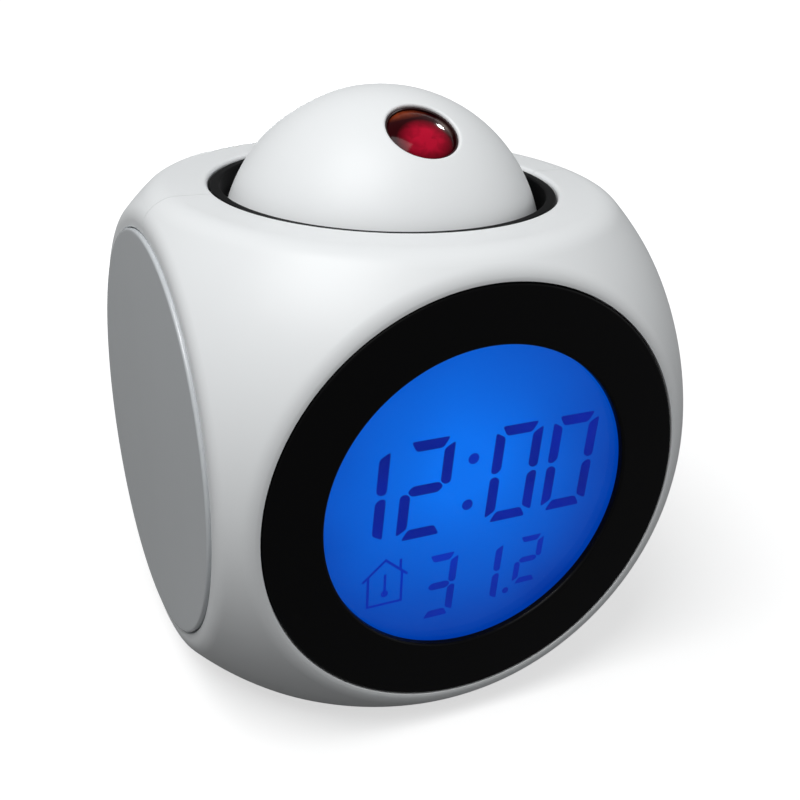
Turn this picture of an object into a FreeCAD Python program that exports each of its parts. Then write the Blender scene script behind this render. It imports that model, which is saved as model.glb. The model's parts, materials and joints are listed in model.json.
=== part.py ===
"""Projection alarm clock: a rounded-cube case cut from a sphere, with a round display in front,
flat discs at the sides and a tilting projector ball that stands in a well in the top.

Millimetres, +Z up. X = 0 and Y = 0 run through the middle of the case, the display faces -Y and
Z = 0 is the table. Every piece is drawn about the middle of the case, and its placement lifts it
to centre_height; the pieces of the projector ball are drawn about the ball's own middle, with the
lens along +Z, and their placement tips them forward.
"""
import FreeCAD, Part
import math
import os
import Sketcher

doc = FreeCAD.newDocument("ProjectionClock")
sheet = doc.addObject("Spreadsheet::Sheet", "Sizes")


class Size:
    """A length that the sheet knows by name: its formula for the model, its number for first sketches."""

    def __init__(self, text, number):
        self.text = text
        self.number = float(number)

    def __add__(self, other):
        other = as_size(other)
        return Size(f"({self.text} + {other.text})", self.number + other.number)

    def __sub__(self, other):
        other = as_size(other)
        return Size(f"({self.text} - {other.text})", self.number - other.number)

    def __mul__(self, other):
        other = as_size(other)
        return Size(f"({self.text} * {other.text})", self.number * other.number)

    def __truediv__(self, other):
        other = as_size(other)
        return Size(f"({self.text} / {other.text})", self.number / other.number)

    def __neg__(self):
        return Size(f"(0 - {self.text})", -self.number)

    def __radd__(self, other):
        return as_size(other) + self

    def __rsub__(self, other):
        return as_size(other) - self

    def __rmul__(self, other):
        return as_size(other) * self


def as_size(value):
    return value if isinstance(value, Size) else Size(f"{float(value):g}", value)


def leg(long_side, short_side):
    """The other short side of a right-angled triangle, such as a sphere's radius at a height."""
    long_side, short_side = as_size(long_side), as_size(short_side)
    number = math.sqrt(long_side.number ** 2 - short_side.number ** 2)
    return Size(f"sqrt({long_side.text}^2 - {short_side.text}^2)", number)


def diagonal(first, second):
    """The long side of a right-angled triangle, such as the way out to a corner of the case."""
    return Size(f"sqrt({first.text}^2 + {second.text}^2)", math.hypot(first.number, second.number))


def least(*choices):
    return Size("min(" + "; ".join(choice.text for choice in choices) + ")",
                min(choice.number for choice in choices))


sheet_row = 0


def size(alias, value, note):
    """One driving dimension: a row of the sheet."""
    global sheet_row
    sheet_row += 1
    sheet.set(f"A{sheet_row}", alias)
    sheet.set(f"B{sheet_row}", f"{value:g}")
    sheet.set(f"C{sheet_row}", note)
    sheet.setAlias(f"B{sheet_row}", alias)
    return Size(f"Sizes.{alias}", value)


# Case
body_width = size("body_width", 82.4, "across the two side flats")
body_depth = size("body_depth", 82, "front flat to rear flat")
crown_inset = size("crown_inset", 2.09, "crown inside the nearest edge where two flats would meet")
base_drop = size("base_drop", 41.5, "middle of the case down to its bottom flat")
top_rise = size("top_rise", 40.3, "middle of the case up to its top flat")
wall = size("wall", 2.2, "moulded wall")
front_wall = size("front_wall", 3.4, "thicker wall that the display is seated in")
edge_round = size("edge_round", 4, "round on the front, rear and side rims")
top_round = size("top_round", 6, "round on the top rim")
base_round = size("base_round", 5, "round on the bottom rim")
lap_thick = size("lap_thick", 1, "tongue where the two case halves lap")
lap_long = size("lap_long", 1.5, "how far the tongue reaches into the front half")
fit_gap = size("fit_gap", 0.15, "clearance between parts that are laid into one another")
part_gap = size("part_gap", 0.3, "clearance between parts that move past one another")

# Feet and side caps
foot_radius = size("foot_radius", 4, "rubber foot")
foot_height = size("foot_height", 1, "foot below the bottom flat")
foot_seat = size("foot_seat", 0.6, "depth of the pocket that a foot is glued into")
foot_across = size("foot_across", 22, "feet from the middle, along X")
foot_along = size("foot_along", 20, "feet from the middle, along Y")
cap_radius = size("cap_radius", 34.3, "side cap")
cap_thick = size("cap_thick", 1.6, "side cap")
cap_seat = size("cap_seat", 1, "depth of the cap's seat in the side flat")
cap_round = size("cap_round", 0.4, "round on the cap's rim")
peg_radius = size("peg_radius", 1.5, "pegs behind the cap")
peg_long = size("peg_long", 2.6, "pegs behind the cap")
peg_ring = size("peg_ring", 26, "pegs from the cap's middle")

# Display
bezel_radius = size("bezel_radius", 35.7, "black ring round the display")
bezel_thick = size("bezel_thick", 1.6, "flange of the ring")
hub_radius = size("hub_radius", 30.6, "hub of the ring, which passes through the case")
window_radius = size("window_radius", 26.15, "what is seen of the display")
window_depth = size("window_depth", 1.3, "window behind the ring's face")
window_thick = size("window_thick", 1.2, "clear window")
window_seat = size("window_seat", 2.3, "ledge that the window lies on, across")
display_half = size("display_half", 26.5, "half the side of the display glass")
display_thick = size("display_thick", 2.2, "display glass")
corner_gap = size("corner_gap", 0.44, "display frame's corners inside the case's crown")
ledge_half = size("ledge_half", 19, "half the width of the glass's contact ledge")
ledge_drop = size("ledge_drop", 3.4, "contact ledge below the glass")
guide_thick = size("guide_thick", 2.5, "light guide behind the glass")
guide_notch = size("guide_notch", 6, "corner cut off the light guide for its lamp")
frame_rim = size("frame_rim", 1.8, "wall of the frame round the display")
frame_deep = size("frame_deep", 6.7, "display frame, front to back")
lamp_side = size("lamp_side", 2.6, "backlight lamp")
lamp_place = size("lamp_place", 22.8, "backlight lamps from the middle, across and down")

# Main board
board_thick = size("board_thick", 1.6, "circuit boards")
board_half = size("board_half", 25, "half the main board's width")
board_top = size("board_top", 15.5, "main board above the middle of the case")
board_foot = size("board_foot", 27.5, "main board below the middle of the case")
board_wing = size("board_wing", 34, "board's ears from the middle")
wing_half = size("wing_half", 12, "half the height of the board's ears")
post_radius = size("post_radius", 2.6, "posts that carry the board")
post_across = size("post_across", 31.3, "posts from the middle, along X")
post_up = size("post_up", 9, "posts from the middle, along Z")
pin_screw = size("pin_screw", 0.9, "radius of the small screws")
pin_head = size("pin_head", 1.9, "radius of the small screws' heads")
pin_head_high = size("pin_head_high", 1.2, "small screws' heads")
pin_long = size("pin_long", 5.5, "small screws, under the head")

# Case screws
boss_radius = size("boss_radius", 3.5, "screw bosses of the case")
boss_across = size("boss_across", 33.5, "bosses from the middle, along X")
boss_up = size("boss_up", 18, "upper bosses above the middle")
boss_down = size("boss_down", 20, "lower bosses below the middle")
screw_radius = size("screw_radius", 1.2, "case screw")
screw_hole = size("screw_hole", 1.5, "clearance hole in the rear half")
head_radius = size("head_radius", 2.3, "head of the case screw")
head_high = size("head_high", 1.8, "head of the case screw")
head_well = size("head_well", 2.6, "well that the head sits in")
screw_floor = size("screw_floor", 6, "thickness of boss under the screw's head")
screw_long = size("screw_long", 16, "case screw under its head")

# Projector well, cradle and ball
well_radius = size("well_radius", 29.46, "opening in the top")
ball_radius = size("ball_radius", 27.5, "projector ball")
ball_rise = size("ball_rise", 28.7, "middle of the ball above the middle of the case")
ball_wall = size("ball_wall", 2.2, "wall of the ball")
ball_tilt = size("ball_tilt", 31, "degrees that the lens leans forward from upright")
ball_gap = size("ball_gap", 0.6, "clearance between ball and cradle")
cradle_wall = size("cradle_wall", 1.9, "bowl of the cradle")
cradle_skirt = size("cradle_skirt", 14, "cradle below the middle of the ball")
flange_inset = size("flange_inset", 1.43, "cradle's flange inside the case's crown")
cradle_plate = size("cradle_plate", 1.8, "flange of the cradle")
collar_wall = size("collar_wall", 1.7, "collar that stands up round the ball")
collar_sink = size("collar_sink", 1.2, "collar below the top flat")
press_travel = size("press_travel", 1.5, "how far the ball is pressed down")
pivot_radius = size("pivot_radius", 1.5, "pivot pins of the ball")
pivot_gap = size("pivot_gap", 0.05, "running clearance of the pivot pins")
pivot_inner = size("pivot_inner", 23.4, "inner end of the pivot pins")
pivot_outer = size("pivot_outer", 30.2, "outer end of the pivot pins")
pivot_boss = size("pivot_boss", 3.2, "boss round each pivot")
ear_outer = size("ear_outer", 30.4, "outer face of the cradle's pivot bosses")
deck_lip = size("deck_lip", 2.1, "shelf in front of the middle of its springs")
deck_half = size("deck_half", 14, "half the length of those shelves")
deck_top = size("deck_top", 28.5, "shelf above the middle of the case")
deck_thick = size("deck_thick", 2, "shelf")
spring_inset = size("spring_inset", 3.1, "return springs inside the edge of the flange")
spring_along = size("spring_along", 8, "return springs from the middle, along Y")
spring_radius = size("spring_radius", 1.4, "coil of the return springs")
spring_wire = size("spring_wire", 0.3, "radius of the springs' wire")
spring_turns = size("spring_turns", 4, "turns of each return spring")

# Inside the ball
lens_radius = size("lens_radius", 5.2, "clear part of the lens")
ring_radius = size("ring_radius", 5.9, "dark ring round the lens")
lens_edge = size("lens_edge", 1.3, "rim of the lens")
lens_crown = size("lens_crown", 11, "radius of the lens's front face")
barrel_wall = size("barrel_wall", 1, "tube behind the lens")
barrel_top = size("barrel_top", 24.6, "end of the tube, from the middle of the ball")
film_place = size("film_place", 10, "image display inside the tube")
film_thick = size("film_thick", 1.2, "image display")
strip_half = size("strip_half", 17, "half the length of the ball's board")
strip_wide = size("strip_wide", 16, "width of the ball's board")
stud_place = size("stud_place", 14, "ball's screws from its middle")
stud_radius = size("stud_radius", 3.4, "posts inside the ball")
stud_well = size("stud_well", 12.6, "depth at which the ball's screw heads sit")
lead_hole = size("lead_hole", 5, "hole for the leads under the ball")

# Rear controls
panel_deep = size("panel_deep", 1, "recess that the controls stand in")
panel_half = size("panel_half", 20, "half the width of the recess")
panel_high = size("panel_high", 12, "height of the recess")
panel_up = size("panel_up", 24.5, "row of buttons above the middle of the case")
button_radius = size("button_radius", 3.7, "rear button")
button_pitch = size("button_pitch", 10, "button to button")
button_proud = size("button_proud", 0.8, "button above the recess")
button_flange = size("button_flange", 4.6, "flange that keeps the button in")
button_stem = size("button_stem", 1.4, "stem behind the button")
button_travel = size("button_travel", 0.8, "button travel")
switch_side = size("switch_side", 6, "push switch behind each button")
switch_high = size("switch_high", 2.8, "push switch")
slide_down = size("slide_down", 30, "slide switch below the middle of the case")
slide_travel = size("slide_travel", 3, "slide switch travel")
slide_knob = size("slide_knob", 4, "slide switch knob, along its travel")
slide_high = size("slide_high", 2.4, "slide switch knob, height")
slide_body = size("slide_body", 9.6, "slide switch body")
slide_ears = size("slide_ears", 17, "slide switch's mounting plate")

# Battery box
cell_radius = size("cell_radius", 5.25, "AAA cell")
cell_long = size("cell_long", 44.5, "AAA cell, with its cap")
cell_pitch = size("cell_pitch", 11, "cell to cell")
cell_play = size("cell_play", 2.05, "room for a contact at each end of a cell")
box_down = size("box_down", 6, "middle of the battery box below the middle of the case")
box_wall = size("box_wall", 1.5, "wall of the battery box")
door_thick = size("door_thick", 1.8, "battery door")
door_ledge = size("door_ledge", 1.7, "ledge that the door lies on")
door_round = size("door_round", 5, "corners of the battery door")
contact_thick = size("contact_thick", 0.4, "sheet metal contacts")
grip_radius = size("grip_radius", 6, "round finger notch in the door")
grip_deep = size("grip_deep", 0.8, "finger notch, depth")
clip_reach = size("clip_reach", 3.2, "screws of the speaker clip beyond the speaker")
film_half = size("film_half", 3.2, "half the side of the image film")
switch_plate_half = size("switch_plate_half", 2.6, "half the height of the slide switch's plate")
switch_plate_thick = size("switch_plate_thick", 0.8, "plate of the slide switch")
cell_nub = size("cell_nub", 0.8, "nub on the end of a cell")
grip_wide = size("grip_wide", 12, "finger notch, along X")

# Speaker
speaker_radius = size("speaker_radius", 14.5, "speaker")
speaker_rim = size("speaker_rim", 1.2, "rim of the speaker")
speaker_along = size("speaker_along", 17, "speaker in front of the middle")
magnet_radius = size("magnet_radius", 7.5, "speaker's magnet")
magnet_high = size("magnet_high", 4, "speaker's magnet above its rim")
slot_wide = size("slot_wide", 1.6, "slot of the speaker grille")
slot_pitch = size("slot_pitch", 3.6, "slot to slot")
grille_radius = size("grille_radius", 11.5, "circle that the slots fill")

centre_height = base_drop + foot_height
doc.recompute()

half_width = body_width / 2
half_depth = body_depth / 2
body_crown = least(diagonal(half_width, half_depth), diagonal(half_width, base_drop),
                   diagonal(half_width, top_rise),
                   diagonal(half_depth, base_drop), diagonal(half_depth, top_rise)) - crown_inset
inner_crown = body_crown - wall
inner_side = half_width - wall
inner_front = half_depth - front_wall
inner_rear = half_depth - wall
inner_floor = base_drop - wall
inner_top = top_rise - wall
frame_reach = leg(inner_crown, inner_front) - corner_gap
display_reach = frame_reach - fit_gap * 2 - 1.3
flange_top = inner_top - part_gap
cradle_reach = leg(inner_crown, flange_top) - flange_inset
spring_across = cradle_reach - spring_inset
deck_inner = spring_across - deck_lip

TURN = {
    "X": FreeCAD.Rotation(FreeCAD.Vector(0, 1, 0), 90),
    "Y": FreeCAD.Rotation(FreeCAD.Vector(1, 0, 0), -90),
    "Z": FreeCAD.Rotation(),
}


# Building blocks

def bind(item, **sizes):
    for name, value in sizes.items():
        item.setExpression(name, as_size(value).text)
    return item


def put(item, at):
    for letter, value in zip("xyz", at):
        item.setExpression(f"Placement.Base.{letter}", as_size(value).text)
    return item


def block(name, low, high):
    """A box from its lowest to its highest corner."""
    item = doc.addObject("Part::Box", name)
    low = [as_size(value) for value in low]
    high = [as_size(value) for value in high]
    bind(item, Length=high[0] - low[0], Width=high[1] - low[1], Height=high[2] - low[2])
    return put(item, low)


def rod(name, radius, start, length, way="Z"):
    """A cylinder that starts at a point and runs along X, Y or Z."""
    item = doc.addObject("Part::Cylinder", name)
    item.Placement = FreeCAD.Placement(FreeCAD.Vector(), TURN[way])
    bind(item, Radius=radius, Height=length)
    return put(item, start)


def taper(name, start_radius, end_radius, start, length, way="Z"):
    item = doc.addObject("Part::Cone", name)
    item.Placement = FreeCAD.Placement(FreeCAD.Vector(), TURN[way])
    bind(item, Radius1=start_radius, Radius2=end_radius, Height=length)
    return put(item, start)


def globe(name, radius, at=(0, 0, 0), seam=45):
    """A sphere whose seam, at so many degrees about Z, lies where it is cut away or meets nothing."""
    item = doc.addObject("Part::Sphere", name)
    item.Placement = FreeCAD.Placement(FreeCAD.Vector(), FreeCAD.Rotation(FreeCAD.Vector(0, 0, 1), seam))
    bind(item, Radius=radius)
    return put(item, at)


def join(name, *items):
    item = doc.addObject("Part::MultiFuse", name)
    item.Shapes = list(items)
    item.Refine = False
    return item


def common(name, first, second):
    item = doc.addObject("Part::Common", name)
    item.Base = first
    item.Tool = second
    item.Refine = False
    return item


def cut(name, base, *tools):
    item = doc.addObject("Part::Cut", name)
    item.Base = base
    item.Tool = tools[0] if len(tools) == 1 else join(name + "_tools", *tools)
    item.Refine = False
    return item


def gather(name, *items):
    """Several solids kept apart in one object."""
    item = doc.addObject("Part::Compound", name)
    item.Links = list(items)
    return item


def rounded(name, base, radius, choose):
    """Fillet on the edges that choose() picks."""
    doc.recompute()
    edges = [(number, radius, radius) for number, edge in enumerate(base.Shape.Edges, 1) if choose(edge)]
    item = doc.addObject("Part::Fillet", name)
    item.Base = base
    item.Edges = edges
    return item


def circle_in_plane(axis, place):
    """Picks whole circles that lie square to an axis, at a place along it."""
    def choose(edge):
        box = edge.BoundBox
        low, high = {"X": (box.XMin, box.XMax), "Y": (box.YMin, box.YMax), "Z": (box.ZMin, box.ZMax)}[axis]
        return abs(low - place) < 1e-3 and abs(high - place) < 1e-3 and edge.Curve.TypeId == "Part::GeomCircle"
    return choose


def long_corner(axis):
    """Picks straight edges along an axis."""
    def choose(edge):
        return edge.Curve.TypeId == "Part::GeomLine" and abs(getattr(edge.tangentAt(edge.FirstParameter),
                axis)) > 0.999
    return choose


parts = []


def part(item, label):
    """Marks a piece of the clock, drawn about the middle of the case."""
    item.Label = label
    item.setExpression("Placement.Base.z", centre_height.text)
    parts.append(item)
    return item


def ball_part(item, label):
    """Marks a piece of the projector ball, drawn about the ball's middle with the lens along +Z."""
    item.Label = label
    tilt = FreeCAD.Rotation(FreeCAD.Vector(1, 0, 0), ball_tilt.number)
    item.Placement = FreeCAD.Placement(FreeCAD.Vector(), tilt)
    item.setExpression("Placement.Rotation.Angle", ball_tilt.text)
    item.setExpression("Placement.Base.z", (centre_height + ball_rise).text)
    parts.append(item)
    return item


def body(name):
    return doc.addObject("PartDesign::Body", name)


def profile(owner, name, plane, corners):
    """A closed outline of straight runs, each corner held from the middle by sizes in the sheet."""
    sketch = owner.newObject("Sketcher::SketchObject", name)
    face = [item for item in owner.Origin.OriginFeatures if item.Role == plane][0]
    sketch.AttachmentSupport = (face, [""])
    sketch.MapMode = "FlatFace"
    corners = [(as_size(across), as_size(up)) for across, up in corners]
    count = len(corners)
    for index, (across, up) in enumerate(corners):
        far_across, far_up = corners[(index + 1) % count]
        start = FreeCAD.Vector(across.number, up.number, 0)
        end = FreeCAD.Vector(far_across.number, far_up.number, 0)
        sketch.addGeometry(Part.LineSegment(start, end), False)
    for index in range(count):
        sketch.addConstraint(Sketcher.Constraint("Coincident", index, 2, (index + 1) % count, 1))
    for index, (across, up) in enumerate(corners):
        for kind, value in (("DistanceX", across), ("DistanceY", up)):
            held = sketch.addConstraint(Sketcher.Constraint(kind, -1, 1, index, 1, value.number))
            sketch.setExpression(f"Constraints[{held}]", value.text)
    return sketch


def turned(name, plane, corners):
    """A body turned about the sketch's upright axis."""
    owner = body(name)
    sketch = profile(owner, name + "_profile", plane, corners)
    turn = owner.newObject("PartDesign::Revolution", name + "_turn")
    turn.Profile = sketch
    turn.ReferenceAxis = (sketch, ["V_Axis"])
    turn.Angle = 360
    owner.Tip = turn
    return owner


# Outer and inner form of the case

REAR_SEAM = 45
FRONT_SEAM = 225


def case_half(name, near, far, seam):
    """Half of the case's outer form, from one Y to another, with its rims rounded."""
    box = block(name + "_box", (-half_width, near, -base_drop), (half_width, far, top_rise))
    crisp = common(name + "_crisp", box, globe(name + "_sphere", body_crown, seam=seam))
    flats = [("X", -half_width), ("X", half_width), ("Y", -half_depth), ("Y", half_depth)]
    rims = [circle_in_plane(axis, place.number) for axis, place in flats]
    sides = rounded(name + "_sides", crisp, edge_round.number, lambda edge: any(rim(edge) for rim in rims))
    top = rounded(name + "_top", sides, top_round.number, circle_in_plane("Z", top_rise.number))
    return rounded(name + "_outer", top, base_round.number, circle_in_plane("Z", -base_drop.number))


def inner_space(name, thick, seam):
    """The room inside the case, grown by a thickness into the wall."""
    space = block(name + "_box", (-(inner_side + thick), -(inner_front + thick), -(inner_floor + thick)),
                  (inner_side + thick, inner_rear + thick, inner_top + thick))
    return common(name, space, globe(name + "_sphere", inner_crown + thick, seam=seam))


front_outer = case_half("front", -half_depth, as_size(0), REAR_SEAM)
rear_outer = case_half("rear", as_size(0), half_depth, FRONT_SEAM)
front_inner = inner_space("front_inner", as_size(0), REAR_SEAM)
rear_inner = inner_space("rear_inner", as_size(0), FRONT_SEAM)


def lap_band(name, thick, long):
    ring = cut(name + "_ring", inner_space(name + "_space", thick, REAR_SEAM), front_inner)
    band = block(name + "_slab", (-body_width, -long, -body_width), (body_width, 0, body_width))
    return common(name, ring, band)


tongue = lap_band("tongue", lap_thick, lap_long)
tongue_slot = lap_band("tongue_slot", lap_thick + fit_gap, lap_long + fit_gap)

# Seats that both halves share

well = rod("well", well_radius, (0, 0, inner_top - 5), 10)
cap_seats = [
    rod("left_cap_seat", cap_radius + fit_gap, (-half_width, 0, 0), cap_seat, "X"),
    rod("right_cap_seat", cap_radius + fit_gap, (half_width - cap_seat, 0, 0), cap_seat, "X"),
]
peg_spots = [(math.cos(math.radians(45 + 90 * turn)),
              math.sin(math.radians(45 + 90 * turn))) for turn in range(4)]
peg_holes = []
for number, (along, up) in enumerate(peg_spots):
    for side, start in (("left", -half_width), ("right", inner_side - peg_long)):
        peg_holes.append(rod(f"{side}_peg_hole_{number}", peg_radius,
                             (start, peg_ring * along, peg_ring * up),
                             wall + peg_long, "X"))
shared_cuts = join("shared_cuts", well, *cap_seats, *peg_holes)

boss_spots = [(-boss_across, boss_up), (boss_across, boss_up), (-boss_across, -boss_down),
              (boss_across, -boss_down)]
spring_sides = [(-spring_across, -deck_inner, -half_width), (spring_across, deck_inner, half_width)]


def shelf(name, side, outer, low_y, high_y):
    """Ledge on the side wall that two return springs stand on."""
    _, edge, reach = spring_sides[side]
    low_x, high_x = (reach, edge) if side == 0 else (edge, reach)
    plank = block(name + "_plank", (low_x, low_y, deck_top - deck_thick), (high_x, high_y, deck_top))
    return common(name, plank, outer)


# Front half of the case

front_bosses = [common(f"front_boss_{number}", rod(f"front_boss_rod_{number}", boss_radius,
                (across, -half_depth, up), half_depth, "Y"), front_outer)
                for number, (across, up) in enumerate(boss_spots)]
front_posts = []
front_pilots = []
for number, (left, low) in enumerate(((-1, -1), (1, -1), (-1, 1), (1, 1))):
    spot = (post_across * left, -inner_front, post_up * low)
    front_posts.append(rod(f"front_post_{number}", post_radius, spot, frame_deep, "Y"))
    hole = (spot[0], -inner_front + frame_deep - pin_long + board_thick, spot[2])
    front_pilots.append(rod(f"front_pilot_{number}", pin_screw, hole, pin_long, "Y"))
for number, (across, up) in enumerate(boss_spots):
    start = (across, -(screw_long - screw_floor), up)
    front_pilots.append(rod(f"boss_pilot_{number}", screw_radius, start, screw_long, "Y"))
speaker_clip_posts = []
for number, side in enumerate((-1, 1)):
    spot = ((speaker_radius + clip_reach) * side, -speaker_along, -inner_floor - wall / 2)
    speaker_clip_posts.append(rod(f"speaker_post_{number}", post_radius, spot, wall / 2 + speaker_rim))
    front_pilots.append(rod(f"speaker_pilot_{number}", pin_screw, spot, wall / 2 + speaker_rim + 1))
grille_slots = []
for number in range(-3, 4):
    across = slot_pitch * number
    long_half = leg(grille_radius, across)
    low = (across - slot_wide / 2, -speaker_along - long_half, -base_drop - 1)
    high = (across + slot_wide / 2, -speaker_along + long_half, -inner_floor + 1)
    grille_slots.append(block(f"grille_slot_{number + 3}", low, high))
front_shelves = [shelf(f"front_shelf_{side}", side, front_outer, -deck_half, 0) for side in (0, 1)]
bezel_seat = rod("bezel_seat", bezel_radius + fit_gap, (0, -half_depth, 0), bezel_thick, "Y")
bezel_hole = rod("bezel_hole", hub_radius + fit_gap, (0, -half_depth, 0), front_wall + 1, "Y")


def foot_seats(name, row):
    """Pockets for the two feet of one half."""
    spots = [(foot_across * side, foot_along * row) for side in (-1, 1)]
    return [rod(f"{name}_{number}", foot_radius, (across, along, -base_drop), foot_seat)
            for number, (across, along) in enumerate(spots)]


front_half = cut("front_half", front_outer, front_inner)
front_solid = join("front_solid", front_half, *front_bosses, *front_posts, *front_shelves,
                   *speaker_clip_posts)
front_housing = cut("front_housing", front_solid, shared_cuts, tongue_slot, bezel_seat, bezel_hole,
                    *front_pilots, *grille_slots, *foot_seats("front_foot_seat", -1))
part(front_housing, "front_housing")

# Rear half of the case, with the battery box and the recess for the buttons

box_half_long = cell_long / 2 + cell_play
box_half_high = cell_pitch * 1.5 + 0.1
cell_depth = half_depth - door_thick - fit_gap - part_gap - cell_radius
box_floor = cell_depth - cell_radius
box_block = block("box_block", (-(box_half_long + box_wall), box_floor - box_wall,
                                -(box_down + box_half_high + box_wall)),
                  (box_half_long + box_wall, half_depth, box_half_high + box_wall - box_down))
box_shell = common("box_shell", box_block, rear_outer)
box_pocket = block("box_pocket", (-box_half_long, box_floor, -(box_down + box_half_high)),
                   (box_half_long, half_depth + 1, box_half_high - box_down))
door_half_long = box_half_long + door_ledge
door_half_high = box_half_high + door_ledge


def door_blank(name, gap, low, high):
    slab = block(name + "_slab", (-(door_half_long + gap), low, -(box_down + door_half_high + gap)),
                 (door_half_long + gap, high, door_half_high + gap - box_down))
    return rounded(name, slab, door_round.number, long_corner("y"))


door_seat = door_blank("door_seat", fit_gap, half_depth - door_thick - fit_gap, half_depth + 1)
panel_slab = block("panel_slab", (-panel_half, half_depth - panel_deep, panel_up - panel_high / 2),
                   (panel_half, half_depth + 1, panel_up + panel_high / 2))
panel_recess = rounded("panel_recess", panel_slab, 3, long_corner("y"))
button_spots = [button_pitch * (number - 1.5) for number in range(4)]
button_holes = [rod(f"button_hole_{number}", button_radius + 0.2, (across, inner_rear - 1, panel_up),
                    wall + 1, "Y")
                for number, across in enumerate(button_spots)]
slide_seat = block("slide_seat", (-(slide_knob / 2 + slide_travel / 2 + 2), half_depth - panel_deep,
                                  -slide_down - switch_plate_half),
                   (slide_knob / 2 + slide_travel / 2 + 2, half_depth + 1, -slide_down + switch_plate_half))
slide_slot = block("slide_slot", (-(slide_knob / 2 + slide_travel / 2 + part_gap), inner_rear - 1,
                                  -slide_down - slide_high / 2 - 0.2),
                   (slide_knob / 2 + slide_travel / 2 + part_gap, half_depth + 1,
                    -slide_down + slide_high / 2 + 0.2))
rear_posts = [common(f"rear_boss_{number}", rod(f"rear_boss_rod_{number}", boss_radius, (across, 0, up),
                                                half_depth, "Y"),
                     rear_outer) for number, (across, up) in enumerate(boss_spots)]
rear_holes = []
for number, (across, up) in enumerate(boss_spots):
    rear_holes.append(rod(f"rear_screw_hole_{number}", screw_hole, (across, -1, up), half_depth, "Y"))
    rear_holes.append(rod(f"rear_head_well_{number}", head_well, (across, screw_floor, up), half_depth,
                          "Y"))
switch_back = inner_rear - wall / 2 - button_travel - 1.6 - switch_high
board_back = switch_back - board_thick
board_across = button_pitch * 2.3
switch_post_spots = [(-board_across, panel_up), (board_across, panel_up)]
for number, (across, up) in enumerate(switch_post_spots):
    rear_posts.append(rod(f"switch_post_{number}", post_radius, (across, switch_back, up),
                          inner_rear + 0.5 - switch_back, "Y"))
    rear_holes.append(rod(f"switch_post_pilot_{number}", pin_screw, (across, board_back, up), pin_long,
                          "Y"))
for number, side in enumerate((-1, 1)):
    spot = ((slide_ears / 2 - 1.8) * side, inner_rear - 1, -slide_down)
    rear_holes.append(rod(f"slide_screw_pilot_{number}", pin_screw, spot, 2.4, "Y"))
rear_shelves = [shelf(f"rear_shelf_{side}", side, rear_outer, 0, deck_half) for side in (0, 1)]
rear_half = cut("rear_half", rear_outer, rear_inner)
rear_solid = join("rear_solid", rear_half, box_shell, tongue, *rear_posts, *rear_shelves)
rear_housing = cut("rear_housing", rear_solid, shared_cuts, box_pocket, door_seat, panel_recess, slide_seat,
                   slide_slot, *button_holes, *rear_holes, *foot_seats("rear_foot_seat", 1))
part(rear_housing, "rear_housing")

# Side caps, with the pegs that hold them in both halves

for side, label in ((-1, "left_side_cap"), (1, "right_side_cap")):
    seat = (half_width - cap_seat) * side
    start = seat if side > 0 else seat - cap_thick
    disc = rod(label + "_disc", cap_radius, (start, 0, 0), cap_thick, "X")
    face = (half_width - cap_seat + cap_thick).number * side
    smooth = rounded(label + "_smooth", disc, cap_round.number, circle_in_plane("X", face))
    peg_start = seat - (wall + peg_long) / 2 if side > 0 else seat
    pegs = [rod(f"{label}_peg_{number}", peg_radius, (peg_start, peg_ring * along, peg_ring * up),
                (wall + peg_long) / 2, "X")
            for number, (along, up) in enumerate(peg_spots)]
    part(join(label, smooth, *pegs), label)

# Feet

feet = [rod(f"foot_{number}", foot_radius, (foot_across * side, foot_along * row, -base_drop - foot_height),
            foot_height + foot_seat)
        for number, (side, row) in enumerate(((-1, -1), (1, -1), (-1, 1), (1, 1)))]
part(gather("rubber_feet", *feet), "rubber_feet")

# Black ring and clear window of the display, turned about the line of sight

bezel = turned("display_bezel", "XY_Plane", [
    (window_radius, -half_depth),
    (bezel_radius, -half_depth),
    (bezel_radius, -half_depth + bezel_thick),
    (hub_radius, -half_depth + bezel_thick),
    (hub_radius, -inner_front),
    (window_radius + window_seat + fit_gap, -inner_front),
    (window_radius + window_seat + fit_gap, -half_depth + window_depth),
    (window_radius, -half_depth + window_depth),
])
part(bezel, "display_bezel")
window = turned("display_window", "XY_Plane", [
    (0, -half_depth + window_depth),
    (window_radius + window_seat, -half_depth + window_depth),
    (window_radius + window_seat, -half_depth + window_depth + window_thick),
    (0, -half_depth + window_depth + window_thick),
])
part(window, "display_window")

# Display glass, light guide and the frame that holds them behind the ring

glass_front = -inner_front
guide_front = glass_front + display_thick
guide_back = guide_front + guide_thick


def display_outline(name, grow, low_y, deep):
    """The glass's outline, a square with a contact ledge below and its corners trimmed round."""
    far_y = low_y + deep
    square = block(name + "_square", (-(display_half + grow), low_y, -(display_half + grow)),
                   (display_half + grow, far_y, display_half + grow))
    ledge = block(name + "_ledge", (-(ledge_half + grow), low_y, -(display_half + ledge_drop + grow)),
                  (ledge_half + grow, far_y, 0))
    trim = rod(name + "_trim", display_reach + grow, (0, low_y, 0), deep, "Y")
    return common(name, join(name + "_outline", square, ledge), trim)


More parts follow.
